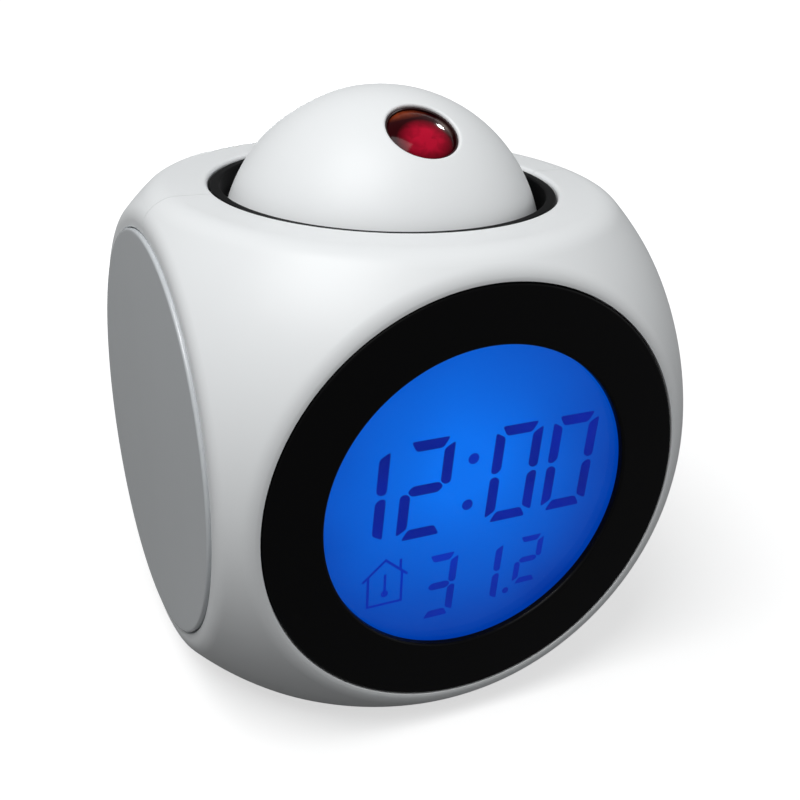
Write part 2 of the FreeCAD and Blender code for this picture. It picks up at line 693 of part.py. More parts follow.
part(display_outline("lcd_panel", as_size(0), glass_front, display_thick), "lcd_panel")
guide_square = block("guide_square", (-display_half, guide_front, -display_half),
                     (display_half, guide_back, display_half))
guide_trim = rod("guide_trim", display_reach, (0, guide_front, 0), guide_thick, "Y")
guide_cuts = []
lamps = []
for number, side in enumerate((-1, 1)):
    inner_edge = (display_half - guide_notch) * side
    low_x, high_x = (-display_half, inner_edge) if side < 0 else (inner_edge, display_half)
    guide_cuts.append(block(f"guide_notch_{number}", (low_x, guide_front, -display_half),
                            (high_x, guide_back, -display_half + guide_notch)))
    lamp_low = (lamp_place * side - lamp_side / 2, guide_front + part_gap, -lamp_place - lamp_side / 2)
    lamp_high = (lamp_place * side + lamp_side / 2, glass_front + frame_deep, -lamp_place + lamp_side / 2)
    lamps.append(block(f"lamp_{number}", lamp_low, lamp_high))
part(cut("light_guide", common("guide_outline", guide_square, guide_trim), *guide_cuts), "light_guide")
part(gather("backlight_lamps", *lamps), "backlight_lamps")

frame_half = display_half + fit_gap + frame_rim
frame_foot = display_half + ledge_drop + fit_gap + 1
frame_block = block("frame_block", (-frame_half, glass_front, -frame_foot),
                    (frame_half, glass_front + frame_deep, frame_half))
frame_round = rod("frame_round", frame_reach, (0, glass_front, 0), frame_deep, "Y")
frame_hole = display_outline("frame_hole", fit_gap, glass_front, frame_deep)
part(cut("lcd_frame", common("frame_outline", frame_block, frame_round), frame_hole), "lcd_frame")
zebra = block("zebra_rubber", (-ledge_half + 1, guide_front, -display_half - ledge_drop + 0.4),
              (ledge_half - 1, glass_front + frame_deep, -display_half - 0.4))
part(gather("zebra_strip", zebra), "zebra_strip")

# Main board with what is soldered to it

board_front = glass_front + frame_deep
board_rear = board_front + board_thick
board_core = block("board_core", (-board_half, board_front, -board_foot - 2),
                   (board_half, board_rear, board_top))
board_ears = block("board_ears", (-board_wing, board_front, -wing_half),
                   (board_wing, board_rear, wing_half))
board_holes = [rod(f"board_hole_{number}", pin_screw + 0.2,
                   (post_across * left, board_front - 1, post_up * low), 4, "Y")
               for number, (left, low) in enumerate(((-1, -1), (1, -1), (-1, 1), (1, 1)))]
part(cut("main_board", join("board_outline", board_core, board_ears), *board_holes), "main_board")
chip = common("chip", globe("chip_dome", 9, (0, board_rear - 7, 2)),
              block("chip_space", (-9, board_rear, -9), (9, board_rear + 9, 13)))
board_parts = [
    chip,
    block("driver_chip", (-16, board_rear, -16), (-6, board_rear + 1.5, -10)),
    rod("capacitor_left", 2.5, (14, board_rear, -8), 6, "Y"),
    rod("capacitor_right", 2, (19.5, board_rear, -8), 5, "Y"),
    rod("crystal", 1.5, (-18, board_rear + 1.5, -2), 6, "Z"),
]
part(gather("board_parts", *board_parts), "board_parts")
sensor_bead = rod("sensor_bead", 1.4, (20, board_rear + 2.4, -board_foot - 1.4), 3)
sensor_leads = block("sensor_leads", (19.4, board_rear, -board_foot + 0.2),
                     (20.6, board_rear + 2.4, -board_foot + 1))
part(join("temperature_sensor", sensor_bead, sensor_leads), "temperature_sensor")


def small_screw(name, spot, back, long=None):
    """Screw driven towards -Y from a face at back."""
    long = pin_long if long is None else long
    across, up = spot
    shank = rod(name + "_shank", pin_screw, (across, back - long, up), long, "Y")
    head = rod(name + "_head", pin_head, (across, back, up), pin_head_high, "Y")
    return join(name, shank, head)


board_screws = [small_screw(f"board_screw_{number}", (post_across * left, post_up * low), board_rear)
                for number, (left, low) in enumerate(((-1, -1), (1, -1), (-1, 1), (1, 1)))]
part(gather("board_screws", *board_screws), "board_screws")

# Speaker, face down on the floor of the front half, and the clip across its magnet

floor = -inner_floor
speaker = join("speaker",
               rod("speaker_flange", speaker_radius, (0, -speaker_along, floor), speaker_rim),
               taper("speaker_basket", speaker_radius - 2, magnet_radius + 1.5,
                     (0, -speaker_along, floor + speaker_rim), 2),
               rod("speaker_magnet", magnet_radius, (0, -speaker_along, floor + speaker_rim), magnet_high))
part(speaker, "speaker")
clip_base = floor + speaker_rim
clip_plate = rod("clip_plate", speaker_radius + 1, (0, -speaker_along, clip_base), 1.2)
clip_hole = rod("clip_hole", speaker_radius - 1.6, (0, -speaker_along, clip_base - 1), 4)
clip_ears = [rod(f"clip_ear_{number}", post_radius + 0.6,
                 ((speaker_radius + clip_reach) * side, -speaker_along, clip_base), 1.2)
             for number, side in enumerate((-1, 1))]
clip_holes = [rod(f"clip_ear_hole_{number}", pin_screw + 0.2,
                  ((speaker_radius + clip_reach) * side, -speaker_along, clip_base - 1), 4)
              for number, side in enumerate((-1, 1))]
part(cut("speaker_clip", join("clip_outline", clip_plate, *clip_ears), clip_hole, *clip_holes),
     "speaker_clip")
clip_screws = []
for number, side in enumerate((-1, 1)):
    spot = ((speaker_radius + clip_reach) * side, -speaker_along)
    shank = rod(f"clip_screw_shank_{number}", pin_screw, (*spot, clip_base - 2), 3.2)
    head = rod(f"clip_screw_head_{number}", pin_head, (*spot, clip_base + 1.2), pin_head_high)
    clip_screws.append(join(f"clip_screw_{number}", shank, head))
part(gather("clip_screws", *clip_screws), "clip_screws")

# Case screws, driven in from behind

case_screws = []
for number, (across, up) in enumerate(boss_spots):
    shank = rod(f"case_screw_shank_{number}", screw_radius, (across, screw_floor - screw_long, up),
                screw_long, "Y")
    head = rod(f"case_screw_head_{number}", head_radius, (across, screw_floor, up), head_high, "Y")
    case_screws.append(join(f"case_screw_{number}", shank, head))
part(gather("case_screws", *case_screws), "case_screws")

# Cradle: the black ring in the well, which is pressed down with the ball

middle = ball_rise
bowl_inner = ball_radius + ball_gap
bowl_outer = bowl_inner + cradle_wall
collar_top = top_rise - collar_sink
collar_outer = well_radius - part_gap + 0.05
bowl = common("bowl", globe("bowl_sphere", bowl_outer, (0, 0, middle)),
              block("bowl_space", (-cradle_reach, -cradle_reach, middle - cradle_skirt),
                    (cradle_reach, cradle_reach, flange_top)))
flange = rod("flange", cradle_reach, (0, 0, flange_top - cradle_plate), cradle_plate)
collar = rod("collar", collar_outer, (0, 0, flange_top - cradle_plate),
             collar_top - flange_top + cradle_plate)
pivot_ears = rod("pivot_ears", pivot_boss, (-ear_outer, 0, middle), ear_outer * 2, "X")
ball_space = globe("ball_space", bowl_inner, (0, 0, middle))
collar_space = rod("collar_space", collar_outer - collar_wall, (0, 0, flange_top), 5)
pivot_hole = rod("pivot_hole", pivot_radius, (-ear_outer, 0, middle), ear_outer * 2, "X")
cradle = cut("projector_cradle", join("cradle_solid", bowl, flange, collar, pivot_ears), ball_space,
             collar_space, pivot_hole)
part(cradle, "projector_cradle")
pins = [rod("left_pivot_pin", pivot_radius, (-pivot_outer, 0, middle), pivot_outer - pivot_inner, "X"),
        rod("right_pivot_pin", pivot_radius, (pivot_inner, 0, middle), pivot_outer - pivot_inner, "X")]
part(gather("pivot_pins", *pins), "pivot_pins")

# Return springs between the shelves and the cradle's flange

spring_high = flange_top - cradle_plate - deck_top
springs = []
for across, _, _ in spring_sides:
    for row in (-1, 1):
        number = len(springs)
        coil = doc.addObject("Part::Helix", f"spring_line_{number}")
        bind(coil, Radius=spring_radius, Pitch=(spring_high - spring_wire * 2) / spring_turns,
             Height=spring_high - spring_wire * 2)
        put(coil, (across, spring_along * row, deck_top + spring_wire))
        wire = doc.addObject("Part::Circle", f"spring_section_{number}")
        wire.Placement = FreeCAD.Placement(FreeCAD.Vector(), FreeCAD.Rotation(FreeCAD.Vector(1, 0, 0), 90))
        bind(wire, Radius=spring_wire)
        put(wire, (across + spring_radius, spring_along * row, deck_top + spring_wire))
        spring = doc.addObject("Part::Sweep", f"spring_{number}")
        spring.Sections = [wire]
        spring.Spine = (coil, [])
        spring.Solid = True
        spring.Frenet = True
        springs.append(spring)
part(gather("return_springs", *springs), "return_springs")

# Push switch on the right-hand shelf, under the flange

press_body = block("press_body", (spring_across - 2.2, -3, deck_top),
                   (spring_across + 2.8, 3, deck_top + 3.4))
press_tip = rod("press_tip", 1.2, (spring_across, 0, deck_top + 3.4),
                spring_high - 3.4 - press_travel - part_gap)
part(join("press_switch", press_body, press_tip), "press_switch")

# Projector ball: two half shells that meet on the pivot line

lens_hole = rod("lens_hole", ring_radius + 0.02, (0, 0, 10), 30)
pivot_bore = rod("pivot_bore", pivot_radius + pivot_gap, (-ball_radius, 0, 0), ball_radius * 2, "X")
strip_top = board_thick / 2


def half_ball(name, side):
    """Half shell above (1) or below (-1) the pivot line, with its pivot bosses and screw posts."""
    low, high = (0, ball_radius + 1) if side > 0 else (-ball_radius - 1, 0)
    space = block(name + "_space", (-ball_radius - 1, -ball_radius - 1, low),
                  (ball_radius + 1, ball_radius + 1, high))
    outside = globe(name + "_outside", ball_radius)
    hollow = globe(name + "_hollow", ball_radius - ball_wall)
    half = common(name + "_half", outside, space)
    shell = cut(name + "_shell", half, hollow)
    trunnion_left = rod(name + "_trunnion_left", pivot_boss, (-ball_radius, 0, 0),
                        ball_radius - pivot_inner, "X")
    trunnion_right = rod(name + "_trunnion_right", pivot_boss, (pivot_inner, 0, 0),
                         ball_radius - pivot_inner, "X")
    studs = []
    for number, along in enumerate((-stud_place, stud_place)):
        start = strip_top if side > 0 else -ball_radius
        studs.append(rod(f"{name}_stud_{number}", stud_radius, (0, along, start), ball_radius - strip_top))
    inside = common(name + "_inside", join(name + "_bosses", trunnion_left, trunnion_right, *studs), half)
    return join(name + "_solid", shell, inside)


stud_drills = [rod(f"stud_drill_{number}", screw_radius, (0, along, 0), 9) for number,
               along in enumerate((-stud_place, stud_place))]
ball_upper = cut("ball_upper_shell", half_ball("upper", 1), lens_hole, pivot_bore, *stud_drills)
ball_part(ball_upper, "ball_upper_shell")
stud_holes = []
for number, along in enumerate((-stud_place, stud_place)):
    stud_holes.append(rod(f"stud_hole_{number}", screw_hole, (0, along, -stud_well - 1), 20))
    stud_holes.append(rod(f"stud_head_well_{number}", head_well, (0, along, -ball_radius),
                          ball_radius - stud_well))
lead_way = rod("lead_way", lead_hole, (0, 0, -ball_radius), ball_radius)
ball_lower = cut("ball_lower_shell", half_ball("lower", -1), pivot_bore, lead_way, *stud_holes)
ball_part(ball_lower, "ball_lower_shell")
ball_screws = []
for number, along in enumerate((-stud_place, stud_place)):
    shank = rod(f"ball_screw_shank_{number}", screw_radius, (0, along, -stud_well), stud_well + 8)
    head = rod(f"ball_screw_head_{number}", head_radius, (0, along, -stud_well - head_high), head_high)
    ball_screws.append(join(f"ball_screw_{number}", shank, head))
ball_part(gather("ball_screws", *ball_screws), "ball_screws")

# Optics of the ball, from the lamp on its board out to the lens

strip = block("strip", (-strip_wide / 2, -strip_half, -strip_top), (strip_wide / 2, strip_half, strip_top))
strip_holes = [rod(f"strip_hole_{number}", screw_hole, (0, along, -2), 4) for number,
               along in enumerate((-stud_place, stud_place))]
ball_part(cut("projector_board", strip, *strip_holes), "projector_board")
barrel_radius = ring_radius - 0.2
barrel = turned("lens_barrel", "XZ_Plane", [
    (barrel_radius - barrel_wall, strip_top),
    (barrel_radius + 1.6, strip_top),
    (barrel_radius + 1.6, strip_top + 1.2),
    (barrel_radius, strip_top + 1.2),
    (barrel_radius, barrel_top),
    (lens_radius - 0.6, barrel_top),
    (lens_radius - 0.6, barrel_top - 1.2),
    (barrel_radius - barrel_wall, barrel_top - 1.2),
])
ball_part(barrel, "lens_barrel")
ring_top = leg(ball_radius, ring_radius)
ring = turned("lens_ring", "XZ_Plane", [
    (lens_radius, barrel_top),
    (ring_radius, barrel_top),
    (ring_radius, ring_top),
    (lens_radius + 0.2, ring_top + 0.05),
    (lens_radius, ring_top - 0.25),
])
ball_part(ring, "lens_ring")
lens_rod = rod("lens_rod", lens_radius - 0.02, (0, 0, barrel_top), lens_edge + 3)
lens_dome = globe("lens_dome", lens_crown, (0, 0, barrel_top + lens_edge - leg(lens_crown, lens_radius)))
ball_part(common("projector_lens", lens_rod, lens_dome), "projector_lens")
film = block("film", (-film_half, -film_half, film_place), (film_half, film_half, film_place + film_thick))
film_mount = cut("film_mount", rod("film_disc", barrel_radius - barrel_wall, (0, 0, film_place - 0.8),
                                   film_thick + 0.8),
                 block("film_window", (-2.4, -2.4, film_place - 2), (2.4, 2.4, film_place + 0.2)), film)
ball_part(gather("image_lcd", film), "image_lcd")
ball_part(film_mount, "image_lcd_mount")
lamp = join("projector_lamp", rod("projector_lamp_rod", 2.5, (0, 0, strip_top), 5.4),
            globe("projector_lamp_dome", 2.5, (0, 0, strip_top + 5.4)),
            rod("projector_lamp_rim", 2.9, (0, 0, strip_top), 1))
ball_part(lamp, "projector_lamp")

# Rear buttons with their flanges, and the board of push switches behind them

flange_face = inner_rear - fit_gap
button_face = half_depth - panel_deep + button_proud
stem_end = switch_back + switch_high + button_travel + 0.1
for label, across in zip(("mode_button", "set_button", "up_button", "down_button"), button_spots):
    owner = turned(label, "XY_Plane", [
        (0, stem_end),
        (button_stem, stem_end),
        (button_stem, flange_face - 1),
        (button_flange, flange_face - 1),
        (button_flange, flange_face),
        (button_radius, flange_face),
        (button_radius, button_face - 0.4),
        (button_radius - 0.4, button_face),
        (0, button_face),
    ])
    part(owner, label)
    owner.setExpression("Placement.Base.x", across.text)
    owner.setExpression("Placement.Base.z", (centre_height + panel_up).text)
switch_strip = block("switch_strip", (-board_across - 3, board_back, panel_up - 6.5),
                     (board_across + 3, switch_back, panel_up + 6.5))
switch_strip_holes = [rod(f"switch_strip_hole_{number}", pin_screw + 0.2, (across, board_back - 1, up), 4,
                          "Y")
                      for number, (across, up) in enumerate(switch_post_spots)]
part(cut("button_board", switch_strip, *switch_strip_holes), "button_board")
switches = []
for number, across in enumerate(button_spots):
    low = (across - switch_side / 2, switch_back, panel_up - switch_side / 2)
    high = (across + switch_side / 2, switch_back + switch_high - 0.8, panel_up + switch_side / 2)
    tip = rod(f"switch_tip_{number}", 1.6, (across, switch_back + switch_high - 0.8, panel_up), 0.8, "Y")
    switches.append(join(f"switch_{number}", block(f"switch_body_{number}", low, high), tip))
part(gather("push_switches", *switches), "push_switches")
switch_screws = []
for number, (across, up) in enumerate(switch_post_spots):
    shank = rod(f"switch_screw_shank_{number}", pin_screw, (across, board_back, up), pin_long - 0.5, "Y")
    head = rod(f"switch_screw_head_{number}", pin_head, (across, board_back - pin_head_high, up),
               pin_head_high, "Y")
    switch_screws.append(join(f"switch_screw_{number}", shank, head))
part(gather("switch_screws", *switch_screws), "switch_screws")

# Slide switch below the battery door

plate = block("slide_plate", (-slide_ears / 2, inner_rear - switch_plate_thick,
                              -slide_down - switch_plate_half),
              (slide_ears / 2, inner_rear, -slide_down + switch_plate_half))
slide_can = block("slide_can", (-slide_body / 2, inner_rear - 4.4, -slide_down - 2.4),
                  (slide_body / 2, inner_rear, -slide_down + 2.4))
knob_room = block("knob_room", (-(slide_knob / 2 + slide_travel / 2 + part_gap), inner_rear - 2,
                                -slide_down - slide_high / 2 - 0.2),
                  (slide_knob / 2 + slide_travel / 2 + part_gap, inner_rear + 1,
                   -slide_down + slide_high / 2 + 0.2))
ear_holes = [rod(f"slide_ear_hole_{number}", pin_screw + 0.1,
                 ((slide_ears / 2 - 1.8) * side, inner_rear - 2, -slide_down), 4, "Y")
             for number, side in enumerate((-1, 1))]
part(cut("slide_switch", join("slide_outline", plate, slide_can), knob_room, *ear_holes), "slide_switch")
knob_left = -slide_travel / 2 - slide_knob / 2
knob_block = block("knob_block", (knob_left, inner_rear - 1.7, -slide_down - slide_high / 2),
                   (knob_left + slide_knob, half_depth - 0.2, -slide_down + slide_high / 2))
part(gather("slide_knob", knob_block), "slide_knob")
ear_screws = []
for number, side in enumerate((-1, 1)):
    across = (slide_ears / 2 - 1.8) * side
    shank = rod(f"slide_screw_shank_{number}", pin_screw,
                (across, inner_rear - switch_plate_thick, -slide_down), 2, "Y")
    head = rod(f"slide_screw_head_{number}", pin_head - 0.2, (across, inner_rear - 1.8, -slide_down), 1,
               "Y")
    ear_screws.append(join(f"slide_screw_{number}", shank, head))
part(gather("slide_screws", *ear_screws), "slide_screws")

# Battery door with its finger notch, cells and contacts

door_plate = door_blank("door_plate", as_size(0), half_depth - door_thick, half_depth)
door_grip = rod("door_grip", grip_radius, (-grip_wide / 2, half_depth + grip_radius - grip_deep,
                 door_half_high - box_down - grip_radius), grip_wide, "X")
door_latch = block("door_latch", (-5, half_depth - door_thick - 2.4, box_half_high - box_down - 1.4),
                   (5, half_depth - door_thick, box_half_high - box_down - 0.2))
battery_door = cut("battery_door", join("door_outline", door_plate, door_latch), door_grip)
part(battery_door, "battery_door")
cells = []
contacts = []
coils = []
for number in range(3):
    up = cell_pitch * (number - 1) - box_down
    way = 1 if number % 2 == 0 else -1
    can_long = cell_long - 0.8
    can_start = -cell_long / 2 if way > 0 else -cell_long / 2 + 0.8
    can = rod(f"cell_can_{number}", cell_radius, (can_start, cell_depth, up), can_long, "X")
    nub_start = cell_long / 2 - cell_nub if way > 0 else -cell_long / 2
    nub = rod(f"cell_nub_{number}", 1.9, (nub_start, cell_depth, up), cell_nub, "X")
    cells.append(join(f"cell_{number}", can, nub))
    for side in (-1, 1):
        wall_face = box_half_long * side
        low_x = wall_face if side < 0 else wall_face - contact_thick
        leaf = block(f"contact_{number}_{side + 1}", (low_x, cell_depth - 4, up - 4.4),
                     (low_x + contact_thick, cell_depth + 4, up + 4.4))
        reach = cell_play - contact_thick
        if side == way:
            tip_start = wall_face - cell_play if side > 0 else wall_face + contact_thick
            tip = rod(f"contact_tip_{number}", 1.6, (tip_start, cell_depth, up), reach, "X")
            contacts.append(join(f"plus_contact_{number}", leaf, tip))
        else:
            contacts.append(leaf)
            if side < 0:
                coils.append(taper(f"contact_coil_{number}", 3.6, 2.2,
                                   (wall_face + contact_thick, cell_depth, up), reach, "X"))
            else:
                coils.append(taper(f"contact_coil_{number}", 2.2, 3.6,
                                   (wall_face - cell_play, cell_depth, up), reach, "X"))
part(gather("battery_cells", *cells), "battery_cells")
part(gather("battery_contacts", *contacts), "battery_contacts")
part(gather("battery_springs", *coils), "battery_springs")

# Checks, then one file for each piece

doc.recompute()
for item in doc.Objects:
    if "Invalid" in item.State or "Error" in item.State:
        raise RuntimeError(f"{item.Label} did not build: {item.State}")
os.makedirs("parts", exist_ok=True)
for item in parts:
    shape = item.Shape
    if shape.isNull() or not shape.isValid() or not shape.Solids:
        raise RuntimeError(f"{item.Label} is not a sound solid")
for item in parts:
    item.Shape.exportStep(os.path.join("parts", item.Label + ".step"))
    print(f"{item.Label}: {len(item.Shape.Solids)} solid(s), {item.Shape.Volume:.1f} mm3")
print(f"{len(parts)} nodes")
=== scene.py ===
"""Projection alarm clock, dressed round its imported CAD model.

Metres, +Z up, display towards -Y, Z = 0 on the table. Lengths that are easier to read in
millimetres are written as a number times MM.
"""

import json
import math

import bmesh
import bpy
from bpy.props import FloatProperty, FloatVectorProperty, IntProperty, PointerProperty
from mathutils import Matrix, Vector


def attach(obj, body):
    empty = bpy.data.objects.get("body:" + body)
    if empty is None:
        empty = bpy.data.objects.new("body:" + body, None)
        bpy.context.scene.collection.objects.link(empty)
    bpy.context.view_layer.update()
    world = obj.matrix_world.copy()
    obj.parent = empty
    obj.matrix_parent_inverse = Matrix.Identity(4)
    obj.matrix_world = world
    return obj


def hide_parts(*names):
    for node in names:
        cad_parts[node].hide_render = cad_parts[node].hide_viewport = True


bl_info = {
    "name": "Projection alarm clock",
    "version": (1, 0),
    "blender": (4, 5, 0),
    "location": "3D View > Sidebar > Clock",
    "description": "Builds the visible pieces of a rounded-cube clock with a projector ball",
    "category": "Object",
}

MM = 0.001
FIT = 0.15 * MM  # a seat or way is cut this much wider than the piece in it
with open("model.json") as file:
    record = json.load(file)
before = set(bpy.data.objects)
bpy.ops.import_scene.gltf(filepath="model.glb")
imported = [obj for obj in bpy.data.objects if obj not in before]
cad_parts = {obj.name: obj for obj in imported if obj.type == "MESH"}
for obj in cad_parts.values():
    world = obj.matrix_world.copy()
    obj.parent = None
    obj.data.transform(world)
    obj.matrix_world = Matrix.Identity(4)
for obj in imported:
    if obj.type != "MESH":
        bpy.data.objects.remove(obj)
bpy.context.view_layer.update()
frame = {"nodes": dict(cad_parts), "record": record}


def shade(code):
    """An sRGB hex colour as the linear values that Blender mixes."""
    channels = [int(code[place:place + 2], 16) / 255 for place in (1, 3, 5)]
    return tuple(c / 12.92 if c <= 0.04045 else ((c + 0.055) / 1.055) ** 2.4 for c in channels)


def length(name, description, default):
    return FloatProperty(name=name, description=description, default=default * MM, unit="LENGTH")


def colour(name, description, default):
    return FloatVectorProperty(name=name, description=description, default=shade(default),
                               subtype="COLOR", min=0, max=1)


class CaseSizes(bpy.types.PropertyGroup):
    width: length("Width", "Across the two side flats", 82.4)
    depth: length("Depth", "Front flat to rear flat", 82)
    crown: length("Crown radius", "Sphere that rounds every corner", 55.4)
    drop: length("Drop", "Middle of the case down to its bottom flat", 41.5)
    rise: length("Rise", "Middle of the case up to its top flat", 40.3)
    wall: length("Wall", "Moulded wall", 2.2)
    front_wall: length("Front wall", "Wall that the display sits in", 3.4)
    rim_round: length("Rim round", "Round on the front, rear and side rims", 4)
    top_round: length("Top round", "Round on the top rim", 6)
    base_round: length("Base round", "Round on the bottom rim", 5)
    centre: length("Centre height", "Middle of the case above the table", 42.5)
    seam: length("Seam", "Hairline between the two halves", 0.08)
    cap_radius: length("Cap radius", "Side cap", 34.3)
    cap_thick: length("Cap thickness", "Side cap", 1.6)
    cap_seat: length("Cap seat", "Depth of the seat that a side cap lies in", 1)
    steps: IntProperty(name="Steps", description="Divisions along each side of a face", default=36)


class DisplaySizes(bpy.types.PropertyGroup):
    ring: length("Ring radius", "Black ring round the display", 35.7)
    opening: length("Opening radius", "What is seen of the display", 26.15)
    ring_thick: length("Ring thickness", "Flange of the ring", 1.6)
    hub: length("Hub radius", "Hub of the ring", 30.6)
    window_depth: length("Window depth", "Window behind the ring's face", 1.3)
    window_thick: length("Window thickness", "Clear window", 1.2)
    figure_high: length("Figure height", "Height of the hours and minutes", 15.2)
    stroke: length("Stroke", "Width of a segment", 1.78)
    slant: FloatProperty(name="Slant", description="Lean of the figures", default=0.06)


class BallSizes(bpy.types.PropertyGroup):
    well: length("Well radius", "Opening in the top of the case", 29.46)
    radius: length("Ball radius", "Projector ball", 27.5)
    rise: length("Ball rise", "Middle of the ball above the middle of the case", 28.7)
    wall: length("Ball wall", "Wall of the ball", 2.2)
    tilt: FloatProperty(name="Tilt", description="Lean of the lens from upright", subtype="ANGLE",
                        default=math.radians(31))
    lens: length("Lens radius", "Clear part of the lens", 5.6)
    lens_ring: length("Lens ring", "Dark ring round the lens", 5.9)
    lens_base: length("Lens base", "Underside of the lens from the ball's middle", 24.6)


class RearSizes(bpy.types.PropertyGroup):
    button: length("Button radius", "Rear key", 3.7)
    pitch: length("Button pitch", "Key to key", 10)
    row: length("Button row", "Row of keys above the middle of the case", 24.5)
    recess: length("Recess", "Depth of the panel that the keys stand in", 1)
    door_long: length("Door length", "Battery door, along X", 52)
    door_high: length("Door height", "Battery door, along Z", 36.6)
    door_drop: length("Door drop", "Middle of the door below the middle of the case", 6)
    door_thick: length("Door thickness", "Battery door", 1.8)
    switch_drop: length("Switch drop", "Slide switch below the middle of the case", 30)


class Finishes(bpy.types.PropertyGroup):
    case: colour("Case", "Semi-gloss white ABS", "#EEF0F1")
    cap: colour("Side cap", "Satin grey ABS", "#C9CDD0")
    ball: colour("Ball", "Semi-gloss white ABS", "#EFF1F2")
    ring: colour("Ring", "Black ABS", "#060607")
    backlight: colour("Backlight", "Brightest blue of the display", "#0070F0")
    backlight_edge: colour("Backlight edge", "Deepest blue of the display", "#0036A0")
    figure: colour("Figures", "Dark segments of the time", "#021D92")
    figure_small: colour("Small figures", "Thinner segments of the temperature", "#0329A6")
    # The lens tint is also the crimson glow that is painted into the lens; the lens itself is this tint
    # darkened
    lens: colour("Lens", "Red-tinted acrylic", "#B4102F")
    key: colour("Keys", "Grey moulded keys", "#8E9194")
    rubber: colour("Rubber", "Feet", "#2E2E30")
    steel: colour("Steel", "Zinc-plated screws", "#B9BBBE")
    board: colour("Board", "Green solder mask", "#14572E")
    cell: colour("Cell", "Plain jacket of the cells", "#23262B")


GROUPS = {
    "clock_case": CaseSizes,
    "clock_display": DisplaySizes,
    "clock_ball": BallSizes,
    "clock_rear": RearSizes,
    "clock_finish": Finishes,
}

# Meshes


def shown(name, data):
    """An object in the scene for a mesh, a lamp or a camera."""
    item = bpy.data.objects.new(name, data)
    bpy.context.scene.collection.objects.link(item)
    return item


def soften(mesh, smooth_below=30):
    """Smooth shading across edges that turn by less than this angle."""
    mesh.validate()
    mesh.shade_smooth()
    mesh.set_sharp_from_angle(angle=math.radians(smooth_below))


def mesh_object(name, points, faces, smooth_below=30):
    mesh = bpy.data.meshes.new(name)
    mesh.from_pydata([tuple(point) for point in points], [], faces)
    soften(mesh, smooth_below)
    return shown(name, mesh)


def outward(item, merge=1e-7):
    """Faces of a closed mesh turned outwards."""
    work = bmesh.new()
    work.from_mesh(item.data)
    bmesh.ops.remove_doubles(work, verts=work.verts, dist=merge)
    bmesh.ops.recalc_face_normals(work, faces=work.faces)
    work.to_mesh(item.data)
    work.free()
    soften(item.data)
    return item


def settle(item):
    """Applies every modifier and leaves a plain mesh."""
    bpy.context.view_layer.update()
    plain = bpy.data.meshes.new_from_object(item.evaluated_get(bpy.context.evaluated_depsgraph_get()))
    item.modifiers.clear()
    old = item.data
    item.data = plain
    bpy.data.meshes.remove(old)
    plain.name = item.name
    return item


def joined(name, *items):
    """Several meshes as one object."""
    work = bmesh.new()
    for item in items:
        work.from_mesh(item.data)
        bpy.data.objects.remove(item)
    mesh = bpy.data.meshes.new(name)
    work.to_mesh(mesh)
    work.free()
    soften(mesh)
    return shown(name, mesh)


def carve(item, *tools):
    """Cuts closed tools out of a closed mesh."""
    for tool in tools:
        cutter = item.modifiers.new("cut", "BOOLEAN")
        cutter.operation = "DIFFERENCE"
        cutter.solver = "EXACT"
        cutter.object = tool
        settle(item)
        bpy.data.objects.remove(tool)
    soften(item.data)
    return item


def even_normals(item):
    """Large flat faces keep their own normals beside fine rounds."""
    weighted = item.modifiers.new("even", "WEIGHTED_NORMAL")
    weighted.keep_sharp = True
    return settle(item)


def placed(item, place=(0, 0, 0), degrees=0, axis="X"):
    """Turns a piece's mesh about an axis through the origin, then moves it."""
    item.data.transform(Matrix.Translation(place) @ Matrix.Rotation(math.radians(degrees), 4, axis))
    return item


def arc(centre, radius, start, end, steps):
    """Points of an arc in a profile, angles in degrees."""
    turn = [math.radians(start + (end - start) * step / steps) for step in range(steps + 1)]
    return [(centre[0] + radius * math.cos(a), centre[1] + radius * math.sin(a)) for a in turn]


def circle(radius, steps, centre=(0, 0)):
    turn = [2 * math.pi * step / steps for step in range(steps)]
    return [(centre[0] + radius * math.cos(a), centre[1] + radius * math.sin(a)) for a in turn]


def rounded_box(half_long, half_high, corner, steps=8):
    """Corner points of a rounded rectangle, anticlockwise."""
    corner = max(min(corner, half_long, half_high), 1e-6)
    outline = []
    for turn, (sx, sy) in enumerate(((1, 1), (-1, 1), (-1, -1), (1, -1))):
        centre = (sx * (half_long - corner), sy * (half_high - corner))
        outline += arc(centre, corner, 90 * turn, 90 * turn + 90, steps)
    return outline


def distinct(corners):
    return [c for place, c in enumerate(corners) if c not in corners[:place]]


def lathe(name, profile, steps=128):
    """A closed profile of (radius, height) pairs, in metres, turned about Z."""
    points, rows, faces = [], [], []
    for radius, height in profile:
        if radius < 1e-9:
            rows.append([len(points)] * steps)
            points.append((0, 0, height))
        else:
            rows.append(list(range(len(points), len(points) + steps)))
            points += [(x, y, height) for x, y in circle(radius, steps)]
    for low, high in zip(rows, rows[1:] + rows[:1]):
        for step in range(steps):
            after = (step + 1) % steps
            corners = distinct([low[step], low[after], high[after], high[step]])
            if len(corners) > 2:
                faces.append(corners)
    return outward(mesh_object(name, points, faces))


def stack(name, rings, capped=True):
    """A closed mesh through rings of equal count, each a list of points."""
    count = len(rings[0])
    faces = []
    for row in range(0, (len(rings) - 1) * count, count):
        for step in range(count):
            after = (step + 1) % count
            faces.append([row + step, row + after, row + count + after, row + count + step])
    if capped:
        faces.append(list(range(count))[::-1])
        faces.append([(len(rings) - 1) * count + step for step in range(count)])
    return outward(mesh_object(name, [point for ring in rings for point in ring], faces))


def rear_point(across, depth, up):
    """A point by its distance right of the middle, along +Y and above the middle of the case."""
    return (across, depth, up + bpy.context.scene.clock_case.centre)


